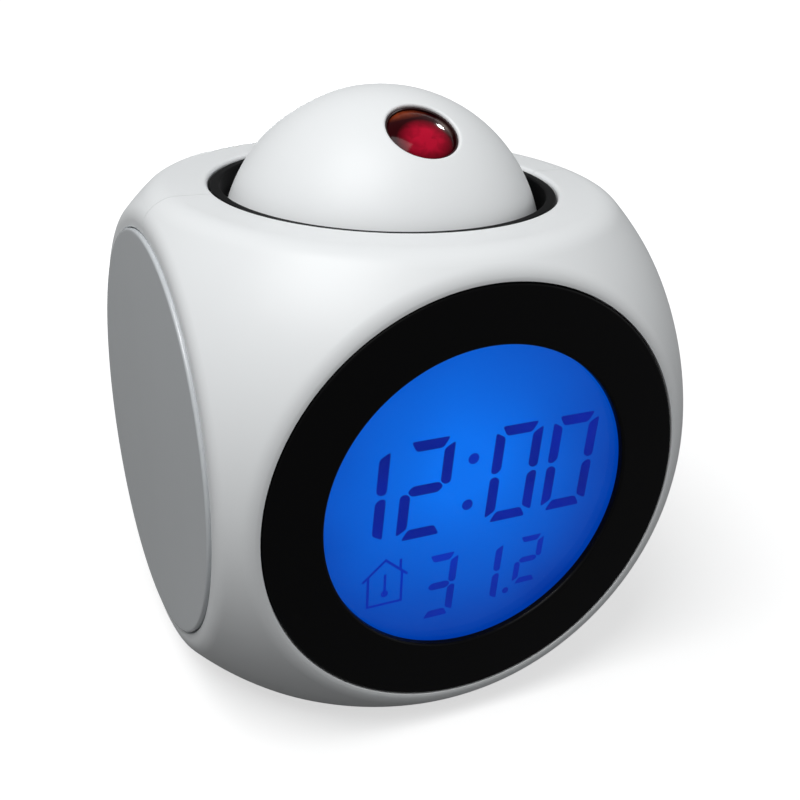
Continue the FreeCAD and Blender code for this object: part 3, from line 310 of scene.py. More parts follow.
def slab(name, centre, half_long, half_high, corner, levels, steps=8):
    """A rounded rectangle through (depth along Y, growth) levels, centred at (x, z) from the middle."""
    rings = []
    for depth, grow in levels:
        outline = rounded_box(half_long + grow, half_high + grow, max(corner + grow, 1e-5), steps)
        rings.append([rear_point(centre[0] + x, depth, centre[1] + z) for x, z in outline])
    return stack(name, rings)


def bore(name, centre, radius, levels):
    """A round slab."""
    return slab(name, centre, radius, radius, radius, levels, 12)


def flared(surface, depth, lip):
    """Levels of a cutter for a recess in a flat at Y = surface, with a rounded lip."""
    bend = arc((surface - lip, lip), lip, -90, 0, 4)[:-1]
    return [(surface - depth, 0)] + bend + [(surface - lip * 0.01, lip), (surface + 2 * MM, lip * 1.05)]


# Geometry Nodes trees


def add_node(tree, kind, inputs=None, **settings):
    """Adds a node with its settings.

    An input is a value, another node's socket, or another node for its first output."""
    item = tree.nodes.new(kind)
    for name, value in settings.items():
        setattr(item, name, value)
    for name, value in (inputs or {}).items():
        if isinstance(value, bpy.types.Node):
            value = value.outputs[0]
        if isinstance(value, bpy.types.NodeSocket):
            tree.links.new(value, item.inputs[name])
        else:
            item.inputs[name].default_value = value
    return item


def socket_label(name):
    return name.replace("_", " ").title()


def new_tree(name, **sockets):
    """An empty tree with named inputs, and the outputs of its input node."""
    tree = bpy.data.node_groups.new(name, "GeometryNodeTree")
    for label, kind in {"geometry": "Geometry", **sockets, "finish": "Material"}.items():
        tree.interface.new_socket(socket_label(label), in_out="INPUT", socket_type="NodeSocket" + kind)
    tree.interface.new_socket("Geometry", in_out="OUTPUT", socket_type="NodeSocketGeometry")
    return tree, add_node(tree, "NodeGroupInput").outputs


def close_tree(tree, given, result):
    """Makes the result real and gives it the tree's one material."""
    real = add_node(tree, "GeometryNodeRealizeInstances", {"Geometry": result})
    dressed = add_node(tree, "GeometryNodeSetMaterial", {"Geometry": real, "Material": given["Finish"]})
    add_node(tree, "NodeGroupOutput", {"Geometry": dressed})
    return tree


def grow(item, tree, **values):
    """Runs a tree on an object with its named inputs set, and keeps the result as a plain mesh."""
    modifier = item.modifiers.new(tree.name, "NODES")
    modifier.node_group = tree
    named = {socket_label(name): value for name, value in values.items()}
    for socket in tree.interface.items_tree:
        if socket.in_out == "INPUT" and socket.name in named:
            modifier[socket.identifier] = named[socket.name]
    return settle(item)


def rows_tree():
    """Copies of a piece on a grid about the origin."""
    tree, given = new_tree("PieceInRows", columns="Int", rows="Int", span_x="Float", span_y="Float")
    grid = add_node(tree, "GeometryNodeMeshGrid", {
        "Size X": given["Span X"], "Size Y": given["Span Y"],
        "Vertices X": given["Columns"], "Vertices Y": given["Rows"]})
    spots = add_node(tree, "GeometryNodeMeshToPoints", {"Mesh": grid})
    return close_tree(tree, given, add_node(tree, "GeometryNodeInstanceOnPoints", {
        "Points": spots, "Instance": given["Geometry"]}))


def ring_tree():
    """A ring: the profile, drawn across X and up Y, is swept round a circle about Z."""
    tree, given = new_tree("SweptRing", radius="Float", divisions="Int")
    path = add_node(tree, "GeometryNodeCurvePrimitiveCircle", {
        "Radius": given["Radius"], "Resolution": given["Divisions"]})
    section = add_node(tree, "GeometryNodeMeshToCurve", {"Mesh": given["Geometry"]})
    return close_tree(tree, given, add_node(tree, "GeometryNodeCurveToMesh", {
        "Curve": path, "Profile Curve": section}))


# Materials: each function adds a finish, laid out by Object coordinates, and gives back its shader


def moulded(tree, place, tint, rough, grain, depth, drift=0.03, coat=0.0, ior=1.5, shine=0.5):
    """Moulded plastic or rubber: a fine grain, and a slow drift in tone and gloss."""
    fine = add_node(tree, "ShaderNodeTexNoise", {
        "Vector": place, "Scale": 1 / (grain * MM), "Detail": 3.0})
    slow = add_node(tree, "ShaderNodeTexNoise", {"Vector": place, "Scale": 1 / (18 * MM), "Detail": 2.0})
    gloss = add_node(tree, "ShaderNodeMapRange", {
        "Value": slow, "To Min": rough - 0.02, "To Max": rough + 0.02})
    darker = (*[channel * (1 - drift) for channel in tint], 1)
    tone = add_node(tree, "ShaderNodeMix", {0: slow, 6: darker, 7: (*tint, 1)}, data_type="RGBA")
    bump = add_node(tree, "ShaderNodeBump", {"Height": fine, "Distance": depth * MM, "Strength": 1.0})
    return add_node(tree, "ShaderNodeBsdfPrincipled", {
        "Base Color": tone.outputs[2], "Roughness": gloss, "Normal": bump, "IOR": ior,
        "Specular IOR Level": shine, "Coat Weight": coat, "Coat Roughness": 0.1})


def plated(tree, place, tint, rough):
    """Plated steel: a metal with brushed drift along one way, drawn coarse enough to show."""
    stretched = add_node(tree, "ShaderNodeMapping", {"Vector": place, "Scale": (1, 1, 12)})
    fine = add_node(tree, "ShaderNodeTexNoise", {
        "Vector": stretched, "Scale": 1 / (0.25 * MM), "Detail": 4.0})
    gloss = add_node(tree, "ShaderNodeMapRange", {
        "Value": fine, "To Min": rough - 0.08, "To Max": rough + 0.12})
    bump = add_node(tree, "ShaderNodeBump", {"Height": fine, "Distance": 0.01 * MM, "Strength": 0.6})
    return add_node(tree, "ShaderNodeBsdfPrincipled", {
        "Base Color": (*tint, 1), "Metallic": 1.0, "Roughness": gloss, "Normal": bump})


def clear_acrylic(tree, place, rough=0.0, index=1.49):
    """Clear acrylic: light goes through it, with faint moulding waves in its gloss."""
    waves = add_node(tree, "ShaderNodeTexNoise", {"Vector": place, "Scale": 1 / (14 * MM), "Detail": 1.0})
    gloss = add_node(tree, "ShaderNodeMapRange", {
        "Value": waves, "To Min": rough, "To Max": rough + 0.01})
    return add_node(tree, "ShaderNodeBsdfPrincipled", {
        "Base Color": (*shade("#FFFFFF"), 1), "Roughness": gloss, "IOR": index,
        "Transmission Weight": 1.0})


def soft_spot(tree, place, centre, reach):
    """1 at a point and 0 beyond its reach, which may differ along each axis; all in metres."""
    shift = tuple(-middle / axis for middle, axis in zip(centre, reach))
    spot = add_node(tree, "ShaderNodeMapping", {
        "Vector": place, "Location": shift, "Scale": tuple(1 / axis for axis in reach)})
    fall = add_node(tree, "ShaderNodeTexGradient", {"Vector": spot}, gradient_type="SPHERICAL")
    return fall.outputs["Fac"]


def lit_layer(tree, level, low, high, rough, strength):
    """Light from a layer of the display; low and high each give a place in level and its tint."""
    ramp = add_node(tree, "ShaderNodeValToRGB", {"Fac": level})
    for element, (place, tint) in zip(ramp.color_ramp.elements, (low, high)):
        element.position = place
        element.color = (*tint, 1)
    return add_node(tree, "ShaderNodeBsdfPrincipled", {
        "Base Color": (*shade("#000000"), 1), "Roughness": rough, "Specular IOR Level": 0.0,
        "Emission Color": ramp, "Emission Strength": strength})


def glowing_display(tree, place, bright, deep):
    """Backlit display: blue light that falls off from its brightest spot towards the rim."""
    scene = bpy.context.scene
    front = scene.clock_display.window_depth - scene.clock_case.depth / 2
    fall = soft_spot(tree, place, (-3 * MM, front, scene.clock_case.centre + 5 * MM), [32 * MM] * 3)
    cloud = add_node(tree, "ShaderNodeTexNoise", {"Vector": place, "Scale": 1 / (16 * MM), "Detail": 1.0})
    faint = add_node(tree, "ShaderNodeMath", {0: cloud, 1: 0.22}, operation="MULTIPLY")
    level = add_node(tree, "ShaderNodeMath", {0: fall, 1: faint}, operation="ADD")
    return lit_layer(tree, level, (0.1, deep), (0.95, bright), 0.5, 1.0)


def dark_segment(tree, place, tint):
    """Liquid crystal that is switched on: it blocks most of the backlight."""
    cloud = add_node(tree, "ShaderNodeTexNoise", {"Vector": place, "Scale": 1 / (9 * MM), "Detail": 1.0})
    low, high = [[channel * share for channel in tint] for share in (0.85, 1.15)]
    return lit_layer(tree, cloud, (0.3, low), (0.7, high), 0.6, 1.06)


def red_lens(tree, place, red, painted_rust_sheen, painted_smoke_reflection):
    """Red-tinted acrylic dome over a dark tube, with painted light: a crimson glow at the front, a
    rust-brown sheen along the back edge and a smoky reflection at the side.
    """
    swirl = add_node(tree, "ShaderNodeTexNoise", {
        "Vector": place, "Scale": 1 / (1.8 * MM), "Detail": 2.0, "Distortion": 0.8})
    layer = (*[channel * 0.05 for channel in red], 1)
    # Painted light, each a soft spot on the near-black lens: a crimson glow, a rust-brown sheen and a
    # smoky reflection
    spots = ((red, -0.2, -2.0, (4.8, 4.2, 4.2), 1.5), (painted_rust_sheen, -2.0, 4.6, (5.0, 2.2, 2.2), 0.9),
             (painted_smoke_reflection, 4.4, 1.2, (1.7, 2.6, 2.6), 0.8))
    for tint, across, along, reach, gain in spots:
        height = bpy.context.scene.clock_ball.lens_base + 2 * MM
        centre = ball_matrix() @ Vector((across * MM, along * MM, height))
        fall = soft_spot(tree, place, centre, [axis * MM for axis in reach])
        wave = add_node(tree, "ShaderNodeMapRange", {
            "Value": swirl, "To Min": gain * 0.35, "To Max": gain * 1.65})
        share = add_node(tree, "ShaderNodeMath", {0: fall, 1: wave}, operation="MULTIPLY", use_clamp=True)
        mix = add_node(tree, "ShaderNodeMix", {0: share, 6: layer, 7: (*tint, 1)}, data_type="RGBA")
        layer = mix.outputs[2]
    return add_node(tree, "ShaderNodeBsdfPrincipled", {
        "Base Color": layer, "Roughness": 0.1, "IOR": 1.49, "Specular IOR Level": 0.08})


def seen_direct(tree):
    """1 for the camera's rays and a small share for rays off a gloss or through glass."""
    path = add_node(tree, "ShaderNodeLightPath").outputs
    second = add_node(tree, "ShaderNodeMath", {0: path["Is Glossy Ray"], 1: path["Is Transmission Ray"]},
                      operation="MAXIMUM")
    part = add_node(tree, "ShaderNodeMath", {0: second, 1: 0.16}, operation="MULTIPLY")
    return add_node(tree, "ShaderNodeMath", {0: path["Is Camera Ray"], 1: part}, operation="MAXIMUM")


def pale_table(tree, place):
    """Matt white table that brightens away from the object and keeps its shadow."""
    away = add_node(tree, "ShaderNodeVectorMath", {0: place}, operation="LENGTH").outputs["Value"]
    glow = add_node(tree, "ShaderNodeMapRange", {
        "Value": away, "From Min": 0.08, "From Max": 0.3, "To Min": 0.62, "To Max": 1.0})
    pale = add_node(tree, "ShaderNodeBsdfDiffuse", {"Color": (*shade("#BCBCBC"), 1)})
    light = add_node(tree, "ShaderNodeEmission", {"Color": (*shade("#FFFFFF"), 1), "Strength": glow})
    both = add_node(tree, "ShaderNodeAddShader", {0: pale, 1: light})
    dim = add_node(tree, "ShaderNodeBsdfDiffuse", {"Color": (*shade("#595959"), 1)})
    return add_node(tree, "ShaderNodeMixShader", {0: seen_direct(tree), 1: dim, 2: both})


def recipe(name, shader, *values, **more):
    return name, lambda tree, place: shader(tree, place, *values, **more)


def finishes():
    """For each slot, its material's name and what adds the shader.

    A moulded finish gives its tint, its roughness, and the width and depth of its grain in millimetres.
    The real grain is about 0.05 mm wide, too fine to show, so it is drawn as coarse as it needs to be."""
    tints = bpy.context.scene.clock_finish
    return {
        # Gloss-moulded ABS: broad soft highlights, and a skin that is smooth from a step away
        "case_white": recipe("WhiteAbsSemiGloss", moulded, tints.case, 0.4, 0.9, 0.004, shine=0.42),
        "ball_white": recipe("WhiteAbsBall", moulded, tints.ball, 0.46, 0.9, 0.004, shine=0.4),
        # Satin ABS of the side discs: the same plastic in a flatter grey
        "cap_grey": recipe("GreyAbsSatin", moulded, tints.cap, 0.17, 0.7, 0.006, ior=1.53),
        # Black ABS of the ring and socket: deep, and glossy only at its edges
        "bezel_black": recipe("BlackAbsRing", moulded, tints.ring, 0.4, 0.5, 0.004, ior=1.4, shine=0.12),
        "socket_black": recipe("BlackAbsSocket", moulded, tints.ring, 0.55, 0.5, 0.006, shine=0.1),
        # Injection-moulded acrylic: the window hardly shows, the guide is frosted to spread its light
        "window_clear": recipe("ClearAcrylicWindow", clear_acrylic, index=1.22),
        "guide_clear": recipe("FrostedAcrylicGuide", clear_acrylic, rough=0.35),
        # Display that is lit from behind, with segments that stay dark against it
        "display_blue": recipe("BacklitDisplay", glowing_display, tints.backlight, tints.backlight_edge),
        "figure": recipe("DarkSegments", dark_segment, tints.figure),
        "figure_small": recipe("ThinSegments", dark_segment, tints.figure_small),
        # Red-tinted acrylic: wet-looking and near black over the dark tube behind it, with a painted
        # crimson glow, rust-brown sheen and smoky reflection
        "lens_red": recipe("RedAcrylicLens", red_lens, tints.lens, shade("#8A3A1E"), shade("#6B5A52")),
        # The same red plastic seen edge on, where it is almost black
        "ring_maroon": recipe("MaroonAcrylicRing", moulded, shade("#2A0A0C"), 0.3, 0.4, 0.004, coat=0.6),
        # Silicone rubber of the keys and feet: a soft sheen on the keys, none on the feet
        "button_grey": recipe("GreyKeyRubber", moulded, tints.key, 0.5, 0.35, 0.01),
        "rubber_grey": recipe("SoftRubber", moulded, tints.rubber, 0.72, 0.3, 0.03),
        # Moulded ABS of the inner pieces, straight from the tool
        "frame_white": recipe("WhiteAbsInner", moulded, shade("#D9D9D6"), 0.45, 0.5, 0.01),
        "part_black": recipe("BlackMouldedParts", moulded, shade("#17181A"), 0.45, 0.4, 0.01),
        # Printed solder mask: patchy green with a wet look
        "board_green": recipe("GreenSolderMask", moulded, tints.board, 0.35, 1.2, 0.01, drift=0.2),
        # Shrunk film jacket of a dry cell: dark, under a thin gloss
        "cell_jacket": recipe("PlainCellJacket", moulded, tints.cell, 0.3, 2.0, 0.005, coat=0.3),
        # Barrel-plated steel: the screws cool and dull, the springs warmer and brighter
        "screw_steel": recipe("ZincPlatedSteel", plated, tints.steel, 0.3),
        "spring_steel": recipe("NickelPlatedSteel", plated, shade("#C9C4B8"), 0.24),
        # Painted board under the object: matt, and white where the camera sees it
        "table": recipe("PaleTable", pale_table),
    }


def material(slot):
    """The material of a slot, built when it is first asked for."""
    name, shader = finishes()[slot]
    made = bpy.data.materials.get(name)
    if made is None:
        made = bpy.data.materials.new(name)
        made.use_nodes = True
        made.node_tree.nodes.clear()
        place = add_node(made.node_tree, "ShaderNodeTexCoord").outputs["Object"]
        add_node(made.node_tree, "ShaderNodeOutputMaterial", {"Surface": shader(made.node_tree, place)})
    return made


def dress(item, finish, body, *nodes, slot=None):
    """Gives a finished piece its material, its body and the CAD nodes that it stands for."""
    item.data.materials.clear()
    item.data.materials.append(material(finish))
    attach(item, body)
    if nodes:
        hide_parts(*nodes)


# Outer form of the case


def faces_of_case(case):
    """The six flats: name, outward way, the two ways across it, its distance and the round on its rim."""
    right, back, up = Vector((1, 0, 0)), Vector((0, 1, 0)), Vector((0, 0, 1))
    return {
        "front": (-back, right, up, case.depth / 2, case.rim_round),
        "rear": (back, -right, up, case.depth / 2, case.rim_round),
        "left": (-right, -back, up, case.width / 2, case.rim_round),
        "right": (right, back, up, case.width / 2, case.rim_round),
        "top": (up, right, back, case.rise, case.top_round),
        "bottom": (-up, right, -back, case.drop, case.base_round),
    }


def inner_flats(case):
    """How far the inside of each flat stands from the middle."""
    return {label: place - (case.front_wall if label == "front" else case.wall)
            for label, (_, _, _, place, _) in faces_of_case(case).items()}


def flat_edge(case, place, radius):
    """Where a flat ends and its round begins, and the angle at which the round meets the sphere."""
    reach = math.sqrt((case.crown - radius) ** 2 - (place - radius) ** 2)
    return reach, math.atan2(reach, place - radius)


def surface_height(case, reach):
    """How far the rear or front face stands from the middle of the case at a distance from its axis."""
    place, radius = case.depth / 2, case.rim_round
    edge, angle = flat_edge(case, place, radius)
    if reach <= edge:
        return place
    if reach <= case.crown * math.sin(angle):
        return place - radius + math.sqrt(max(radius ** 2 - (reach - edge) ** 2, 0))
    return math.sqrt(case.crown ** 2 - reach ** 2)


def border_slopes(side, low, high, steps):
    """Points round the edge of a face, as slopes across it, anticlockwise from its lower right corner."""
    swing = [math.tan(math.pi / 4 * (2 * step / steps - 1)) for step in range(steps)]
    lift = [step * (high if step > 0 else low) for step in swing]
    drop = [step * (low if step > 0 else high) for step in swing]
    return ([(side, v) for v in lift] + [(-u * side, high) for u in swing]
            + [(-side, -v) for v in drop] + [(u * side, -low) for u in swing])


def same_points(points, indices):
    """For each index, the first index whose point lies within a few hundredths of a millimetre."""
    merged, by_place = {}, {}
    steps = [(dx, dy, dz) for dx in (-1, 0, 1) for dy in (-1, 0, 1) for dz in (-1, 0, 1)]
    for index in indices:
        key = tuple(round(value / (0.02 * MM)) for value in points[index])
        near = [by_place.get((key[0] + dx, key[1] + dy, key[2] + dz)) for dx, dy, dz in steps]
        merged[index] = next((other for other in near if other is not None), index)
        if merged[index] == index:
            by_place[key] = index
    return merged


def case_shell(name, case, rear, openings):
    """Half of the case with its wall: rings about the axis of each flat, matched along shared edges."""
    round_steps, sphere_steps = 10, 7
    inner_places = inner_flats(case)
    flats = faces_of_case(case)
    top_angle = flat_edge(case, case.rise, case.top_round)[1]
    side_angle = flat_edge(case, case.depth / 2, case.rim_round)[1]
    top_slope = math.tan((top_angle + math.pi / 2 - side_angle) / 2)

    def inside(point):
        """The inner skin's point on the way from the middle to an outer point."""
        way = point.normalized()
        reach = case.crown - case.wall
        for label, (out, *_) in flats.items():
            facing = way.dot(out)
            if facing > 1e-6:
                reach = min(reach, inner_places[label] / facing)
        return way * reach

    outer, inner, faces, edge_points = [], [], [], []
    for label, (out, across, up, place, radius) in flats.items():
        if label == ("front" if rear else "rear"):
            continue
        slopes = {"top": (top_slope,) * 3, "bottom": (1, 1, 1)}.get(label, (1, 1, 1 / top_slope))
        border = border_slopes(*slopes, case.steps)
        turns = [math.atan2(v, u) for u, v in border]
        count = len(border)
        reach, angle = flat_edge(case, place, radius)
        depth_in = inner_places[label]
        rows = []

        def spot(distance, height, turn):
            return across * (distance * math.cos(turn)) + up * (distance * math.sin(turn)) + out * height

        def add_row(skin, lining):
            rows.append(list(range(len(outer), len(outer) + count)))
            outer.extend(skin)
            inner.extend(lining)

        plain = [(0, place, depth_in, 0), (reach * 0.55, place, depth_in, 0)]
        start = openings.get(label + "_edge", reach)
        last = [(reach - 0.3 * MM, place, depth_in, 0), (reach, place, depth_in, 0)]
        rings = openings.get(label, plain) + (last if start <= reach else [])
        for distance, height, hidden, spread in rings:
            if distance < 1e-9:
                rows.append([len(outer)] * count)
                outer.append(out * height)
                inner.append(out * hidden)
            else:
                add_row([spot(distance, height, turn) for turn in turns],
                        [spot(distance + spread, hidden, turn) for turn in turns])
        first = math.asin(max(start - reach, 0) / radius)
        rim = [spot(max(reach, start), depth_in, turn) for turn in turns]
        end = (case.crown * math.sin(angle), case.crown * math.cos(angle))
        ends = [inside(spot(*end, turn)) for turn in turns]
        for step in range(1, round_steps + 1):
            share = step / round_steps
            lean = first + (angle - first) * share
            distance, height = reach + radius * math.sin(lean), place - radius + radius * math.cos(lean)
            add_row([spot(distance, height, turn) for turn in turns],
                    [near.lerp(far, share) for near, far in zip(rim, ends)])
        limits = [math.atan(math.hypot(u, v)) for u, v in border]
        for step in range(1, sphere_steps + 1):
            leans = [angle + (limit - angle) * step / sphere_steps for limit in limits]
            skin = [spot(case.crown * math.sin(lean), case.crown * math.cos(lean), turn)
                    for lean, turn in zip(leans, turns)]
            add_row(skin, [inside(point) for point in skin])
        edge_points += rows[-1]
        for low, high in zip(rows, rows[1:]):
            for step in range(count):
                after = (step + 1) % count
                faces.append(distinct([low[step], high[step], high[after], low[after]]))
    side = 1 if rear else -1
    merged = same_points(outer, edge_points)
    faces = [face for face in faces if all(outer[c].y * side > -1e-8 for c in face)]
    return walled(name, case, side, (outer, inner), [[merged.get(c, c) for c in face] for face in faces])


def walled(name, case, side, skins, faces):
    """The outer and inner skins of half a case, joined by the walls of its seam and openings."""
    edges = {edge for face in faces for edge in zip(face, face[1:] + face[:1])}
    kept = sorted({c for face in faces for c in face})
    new_index = {old: new for new, old in enumerate(kept)}
    shift = len(kept)
    lift = Vector((0, 0, case.centre))
    hairline = Vector((0, case.seam / 2 * side, 0))
    points = []
    for skin in skins:
        points += [skin[c] + lift + (hairline if abs(skin[c].y) < 1e-7 else Vector()) for c in kept]
    outside = [[new_index[c] for c in face] for face in faces]
    lining = [[c + shift for c in face[::-1]] for face in outside]
    open_edges = [(new_index[a], new_index[b]) for a, b in edges if (b, a) not in edges]
    walls = [[b, a, a + shift, b + shift] for a, b in sorted(open_edges)]
    return outward(mesh_object(name, points, outside + lining + walls, 24), 1e-6)


# Openings of the case are rings: distance from the axis, height, height of the inner skin behind it,
# and how much further out that skin's ring lies


def lip(radius, place, bend, hidden):
    """Rings of a rounded lip round a bore in a flat."""
    curve = arc((radius + bend, place - bend), bend, 180, 90, 5)
    return [(distance, height, hidden, 0) for distance, height in curve]


def cap_seat_rings(case):
    place = case.width / 2
    floor = place - case.cap_seat
    radius = case.cap_radius + FIT
    inner = place - case.wall
    return [(0, floor, inner, 0), (radius * 0.6, floor, inner, 0), (radius, floor, inner, -0.6 * MM),
            (radius, place - FIT, inner, 0.1 * MM), (radius + FIT, place, inner, FIT)]


class ClockOperator:
    bl_options = {"REGISTER", "UNDO"}


class CLOCK_OT_case(ClockOperator, bpy.types.Operator):
    """Two halves of the white case, with the well, the seats and everything cut into the rear"""
    bl_idname = "clock.case"
    bl_label = "Case"

    # Places of the case screws and the radii of their wells and bosses, then the box for the cells
    screws = [(-33.5 * MM, 18 * MM), (33.5 * MM, 18 * MM), (-33.5 * MM, -20 * MM), (33.5 * MM, -20 * MM)]
    screw_way = 2.6 * MM
    screw_tube = 3.5 * MM
    bay = (24.3 * MM, 16.6 * MM)
    bay_wall = 1.5 * MM
    bay_floor = 26.75 * MM

    def execute(self, context):
        case, rear = context.scene.clock_case, context.scene.clock_rear
        openings = self.openings(context.scene)
        front_shell = carve(case_shell("case_front", case, False, openings), self.grille(case))
        rear_shell = carve(case_shell("case_rear", case, True, openings), *self.rear_cuts(case, rear))
        rear_shell = joined("case_rear", rear_shell, self.cell_bay(case, rear), *self.screw_tubes(case))
        dress(even_normals(front_shell), "case_white", "case", "front_housing")
        dress(even_normals(rear_shell), "case_white", "case", "rear_housing")
        return {"FINISHED"}

    def openings(self, scene):
        case, display, ball = scene.clock_case, scene.clock_display, scene.clock_ball
        inner_top = case.rise - case.wall
        well = lip(ball.well, case.rise, 0.8 * MM, inner_top)
        seat = display.ring + FIT
        hidden = case.depth / 2 - case.front_wall
        floor = case.depth / 2 - display.ring_thick
        edge = surface_height(case, seat)
        sides = cap_seat_rings(case)
        return {
            "top": well + [(ball.well + 2.2 * MM, case.rise, inner_top, 0)],
            "left": sides,
            "right": sides,
            "front": [(display.hub + FIT, floor, hidden, 0), (seat, floor, hidden, -1.5 * MM),
                      (seat, edge - 0.2 * MM, hidden, -0.5 * MM),
                      (seat + 0.06 * MM, edge - 0.06 * MM, hidden, -0.2 * MM)],
            "front_edge": seat + 0.2 * MM,
        }

    def grille(self, case):
        """Seven slots that fill a circle in the floor, in front of the speaker."""
        floor = case.centre - case.drop
        middle, pitch, reach, half_wide = -17 * MM, 3.6 * MM, 11.5 * MM, 0.8
        slots = []
        for number in range(-3, 4):
            across = pitch * number
            half = math.sqrt(reach ** 2 - across ** 2)
            rings = []
            for height, wider in ((-1.5, 0.25), (-0.003, 0.22), (0.1, 0.06), (0.25, 0), (3.5, 0)):
                end = (half_wide + wider) * MM
                rings.append([(across + x, middle + y, floor + height * MM)
                              for x, y in rounded_box(end, half + wider * MM, end, 5)])
            slots.append(stack("slot", rings))
        return joined("grille_cuts", *slots)

    def rear_cuts(self, case, rear):
        """Recesses in the rear flat, then the ways that go right through it."""
        face = case.depth / 2
        through = [(face - case.wall - MM, 0), (face + MM, 0)]
        door, switch = (0, -rear.door_drop), (0, -rear.switch_drop)
        shallow = [
            slab("door_seat", door, rear.door_long / 2 + FIT, rear.door_high / 2 + FIT, 5 * MM,
                 flared(face, rear.door_thick + FIT, 0.25 * MM)),
            slab("key_recess", (0, rear.row), 20 * MM, 6 * MM, 3 * MM,
                 flared(face, rear.recess, 0.3 * MM)),
            slab("switch_recess", switch, 5.5 * MM, 2.6 * MM, 0.6 * MM,
                 flared(face, rear.recess, 0.2 * MM)),
        ]
        shallow += [bore("screw_way", spot, self.screw_way, [(face - 9 * MM, 0), (face + 3 * MM, 0)])
                    for spot in self.screws]
        deep = [slab("cell_bay", door, *self.bay, 0.4 * MM, through, 3),
                slab("switch_way", switch, 3.8 * MM, 1.4 * MM, 0.2 * MM, through, 3)]
        deep += [bore("key_way", (rear.pitch * (number - 1.5), rear.row), rear.button + 0.2 * MM, through)
                 for number in range(4)]
        return joined("shallow_cuts", *shallow), joined("deep_cuts", *deep)

    def cell_bay(self, case, rear):
        """The open box behind the door that the cells lie in."""
        top = case.depth / 2 - rear.door_thick - 0.2 * MM
        wall, floor = self.bay_wall, self.bay_floor
        rings = []
        for wider, depth in ((wall, floor), (wall, top), (0, top), (0, floor + wall)):
            outline = rounded_box(self.bay[0] + wider, self.bay[1] + wider, 0.5 * MM, 3)
            rings.append([rear_point(x, depth, z - rear.door_drop) for x, z in outline])
        return stack("cell_bay", rings)

    def screw_tubes(self, case):
        """The bosses that the case screws sit in, each cut off just under the rounded surface."""
        tubes = []
        for spot in self.screws:
            rings = []
            for radius, depth in ((self.screw_tube, 4 * MM), (self.screw_tube, None),
                                  (self.screw_way, None), (self.screw_way, 6 * MM)):
                rings.append([rear_point(x, depth or surface_height(case, math.hypot(x, z)) - 0.7 * MM, z)
                              for x, z in circle(radius, 32, spot)])
            tubes.append(stack("screw_tube", rings))
        return tubes


class CLOCK_OT_caps(ClockOperator, bpy.types.Operator):
    """Grey discs that close the sides"""
    bl_idname = "clock.caps"
    bl_label = "Side caps"

    def execute(self, context):
        case = context.scene.clock_case
        bend = 0.4 * MM
        edge = case.cap_radius - bend
        base = case.width / 2 - case.cap_seat
        face = base + case.cap_thick
        profile = [(0, base), (case.cap_radius, base)] + arc((edge, face - bend), bend, 0, 90, 4)
        profile += [(edge - 0.3 * MM, face), (case.cap_radius * 0.5, face), (0, face)]
        for degrees, name in ((-90, "left_side_cap"), (90, "right_side_cap")):
            disc = placed(lathe(name + "_disc", profile, 180), (0, 0, case.centre), degrees, "Y")
            dress(even_normals(disc), "cap_grey", "case", name)
        return {"FINISHED"}


class CLOCK_OT_feet(ClockOperator, bpy.types.Operator):
    """Four rubber feet"""
    bl_idname = "clock.feet"
    bl_label = "Feet"

    def execute(self, context):
        profile = [(0, 0), (2.6 * MM, 0), (3.0 * MM, 0.12 * MM), (3.3 * MM, 0)]
        profile += arc((3.6 * MM, 0.4 * MM), 0.4 * MM, -90, 0, 4) + [(4 * MM, 1.6 * MM), (0, 1.6 * MM)]
        feet = grow(lathe("rubber_foot_set", profile, 48), rows_tree(), columns=2, rows=2, span_x=44 * MM,
                    span_y=40 * MM, finish=material("rubber_grey"))
        dress(feet, "rubber_grey", "case", "rubber_feet")
        return {"FINISHED"}


def pane_radius(display):
    """The window and the display run this far out behind the ring."""
    return display.opening + 2.25 * MM


class CLOCK_OT_ring(ClockOperator, bpy.types.Operator):
    """Black ring round the display and the clear window behind it"""
    bl_idname = "clock.ring"
    bl_label = "Ring and window"

    def execute(self, context):
        case, display = context.scene.clock_case, context.scene.clock_display
        face = case.depth / 2
        back = face - case.front_wall
        front = face - display.window_depth
        middle = (display.ring + display.opening) / 2
        ledge = pane_radius(display) + 0.2 * MM
        outline = arc((display.ring - 0.45 * MM, face - 0.45 * MM), 0.45 * MM, 90, 0, 5)
        outline += [(display.ring, face - display.ring_thick), (display.hub, face - display.ring_thick),
                    (display.hub, back), (ledge, back), (ledge, front), (display.opening, front)]
        outline += arc((display.opening + 0.5 * MM, face - 0.5 * MM), 0.5 * MM, 180, 90, 5)
        count = len(outline)
        section = bpy.data.meshes.new("ring_section")
        section.from_pydata([(radius - middle, height, 0) for radius, height in outline],
                            [(step, (step + 1) % count) for step in range(count)], [])
        ring = grow(shown("display_ring", section), ring_tree(), radius=middle, divisions=192,
                    finish=material("bezel_black"))
        self.face_up(ring, (display.opening, display.ring), face)
        placed(ring, (0, 0, case.centre), 90)
        dress(even_normals(outward(ring)), "bezel_black", "case", "display_bezel")

        radius = pane_radius(display)
        bend = 0.15 * MM
        back = front - display.window_thick
        profile = [(0, back), (radius, back)] + arc((radius - bend, front - bend), bend, 0, 90, 3)
        window = placed(lathe("display_window_pane", profile + [(radius * 0.5, front), (0, front)], 160),
                        (0, 0, case.centre), 90)
        dress(even_normals(window), "window_clear", "case", "display_window")
        return {"FINISHED"}

    def face_up(self, ring, reach, face):
        """Turns the swept ring over where its face came out below, and makes sure of its radii."""
        points = [point.co for point in ring.data.vertices]
        radii = [point.to_2d().length for point in points]
        if abs(max(radii) - reach[1]) > 0.1 * MM or abs(min(radii) - reach[0]) > 0.1 * MM:
            raise RuntimeError(f"the swept ring runs from {min(radii):.5f} to {max(radii):.5f}")
        if abs(max(point.z for point in points) - face) > 0.1 * MM:
            ring.data.transform(Matrix.Scale(-1, 4, (0, 0, 1)))


SEGMENTS = {"0": "abcdef", "1": "bc", "2": "abged", "3": "abgcd"}


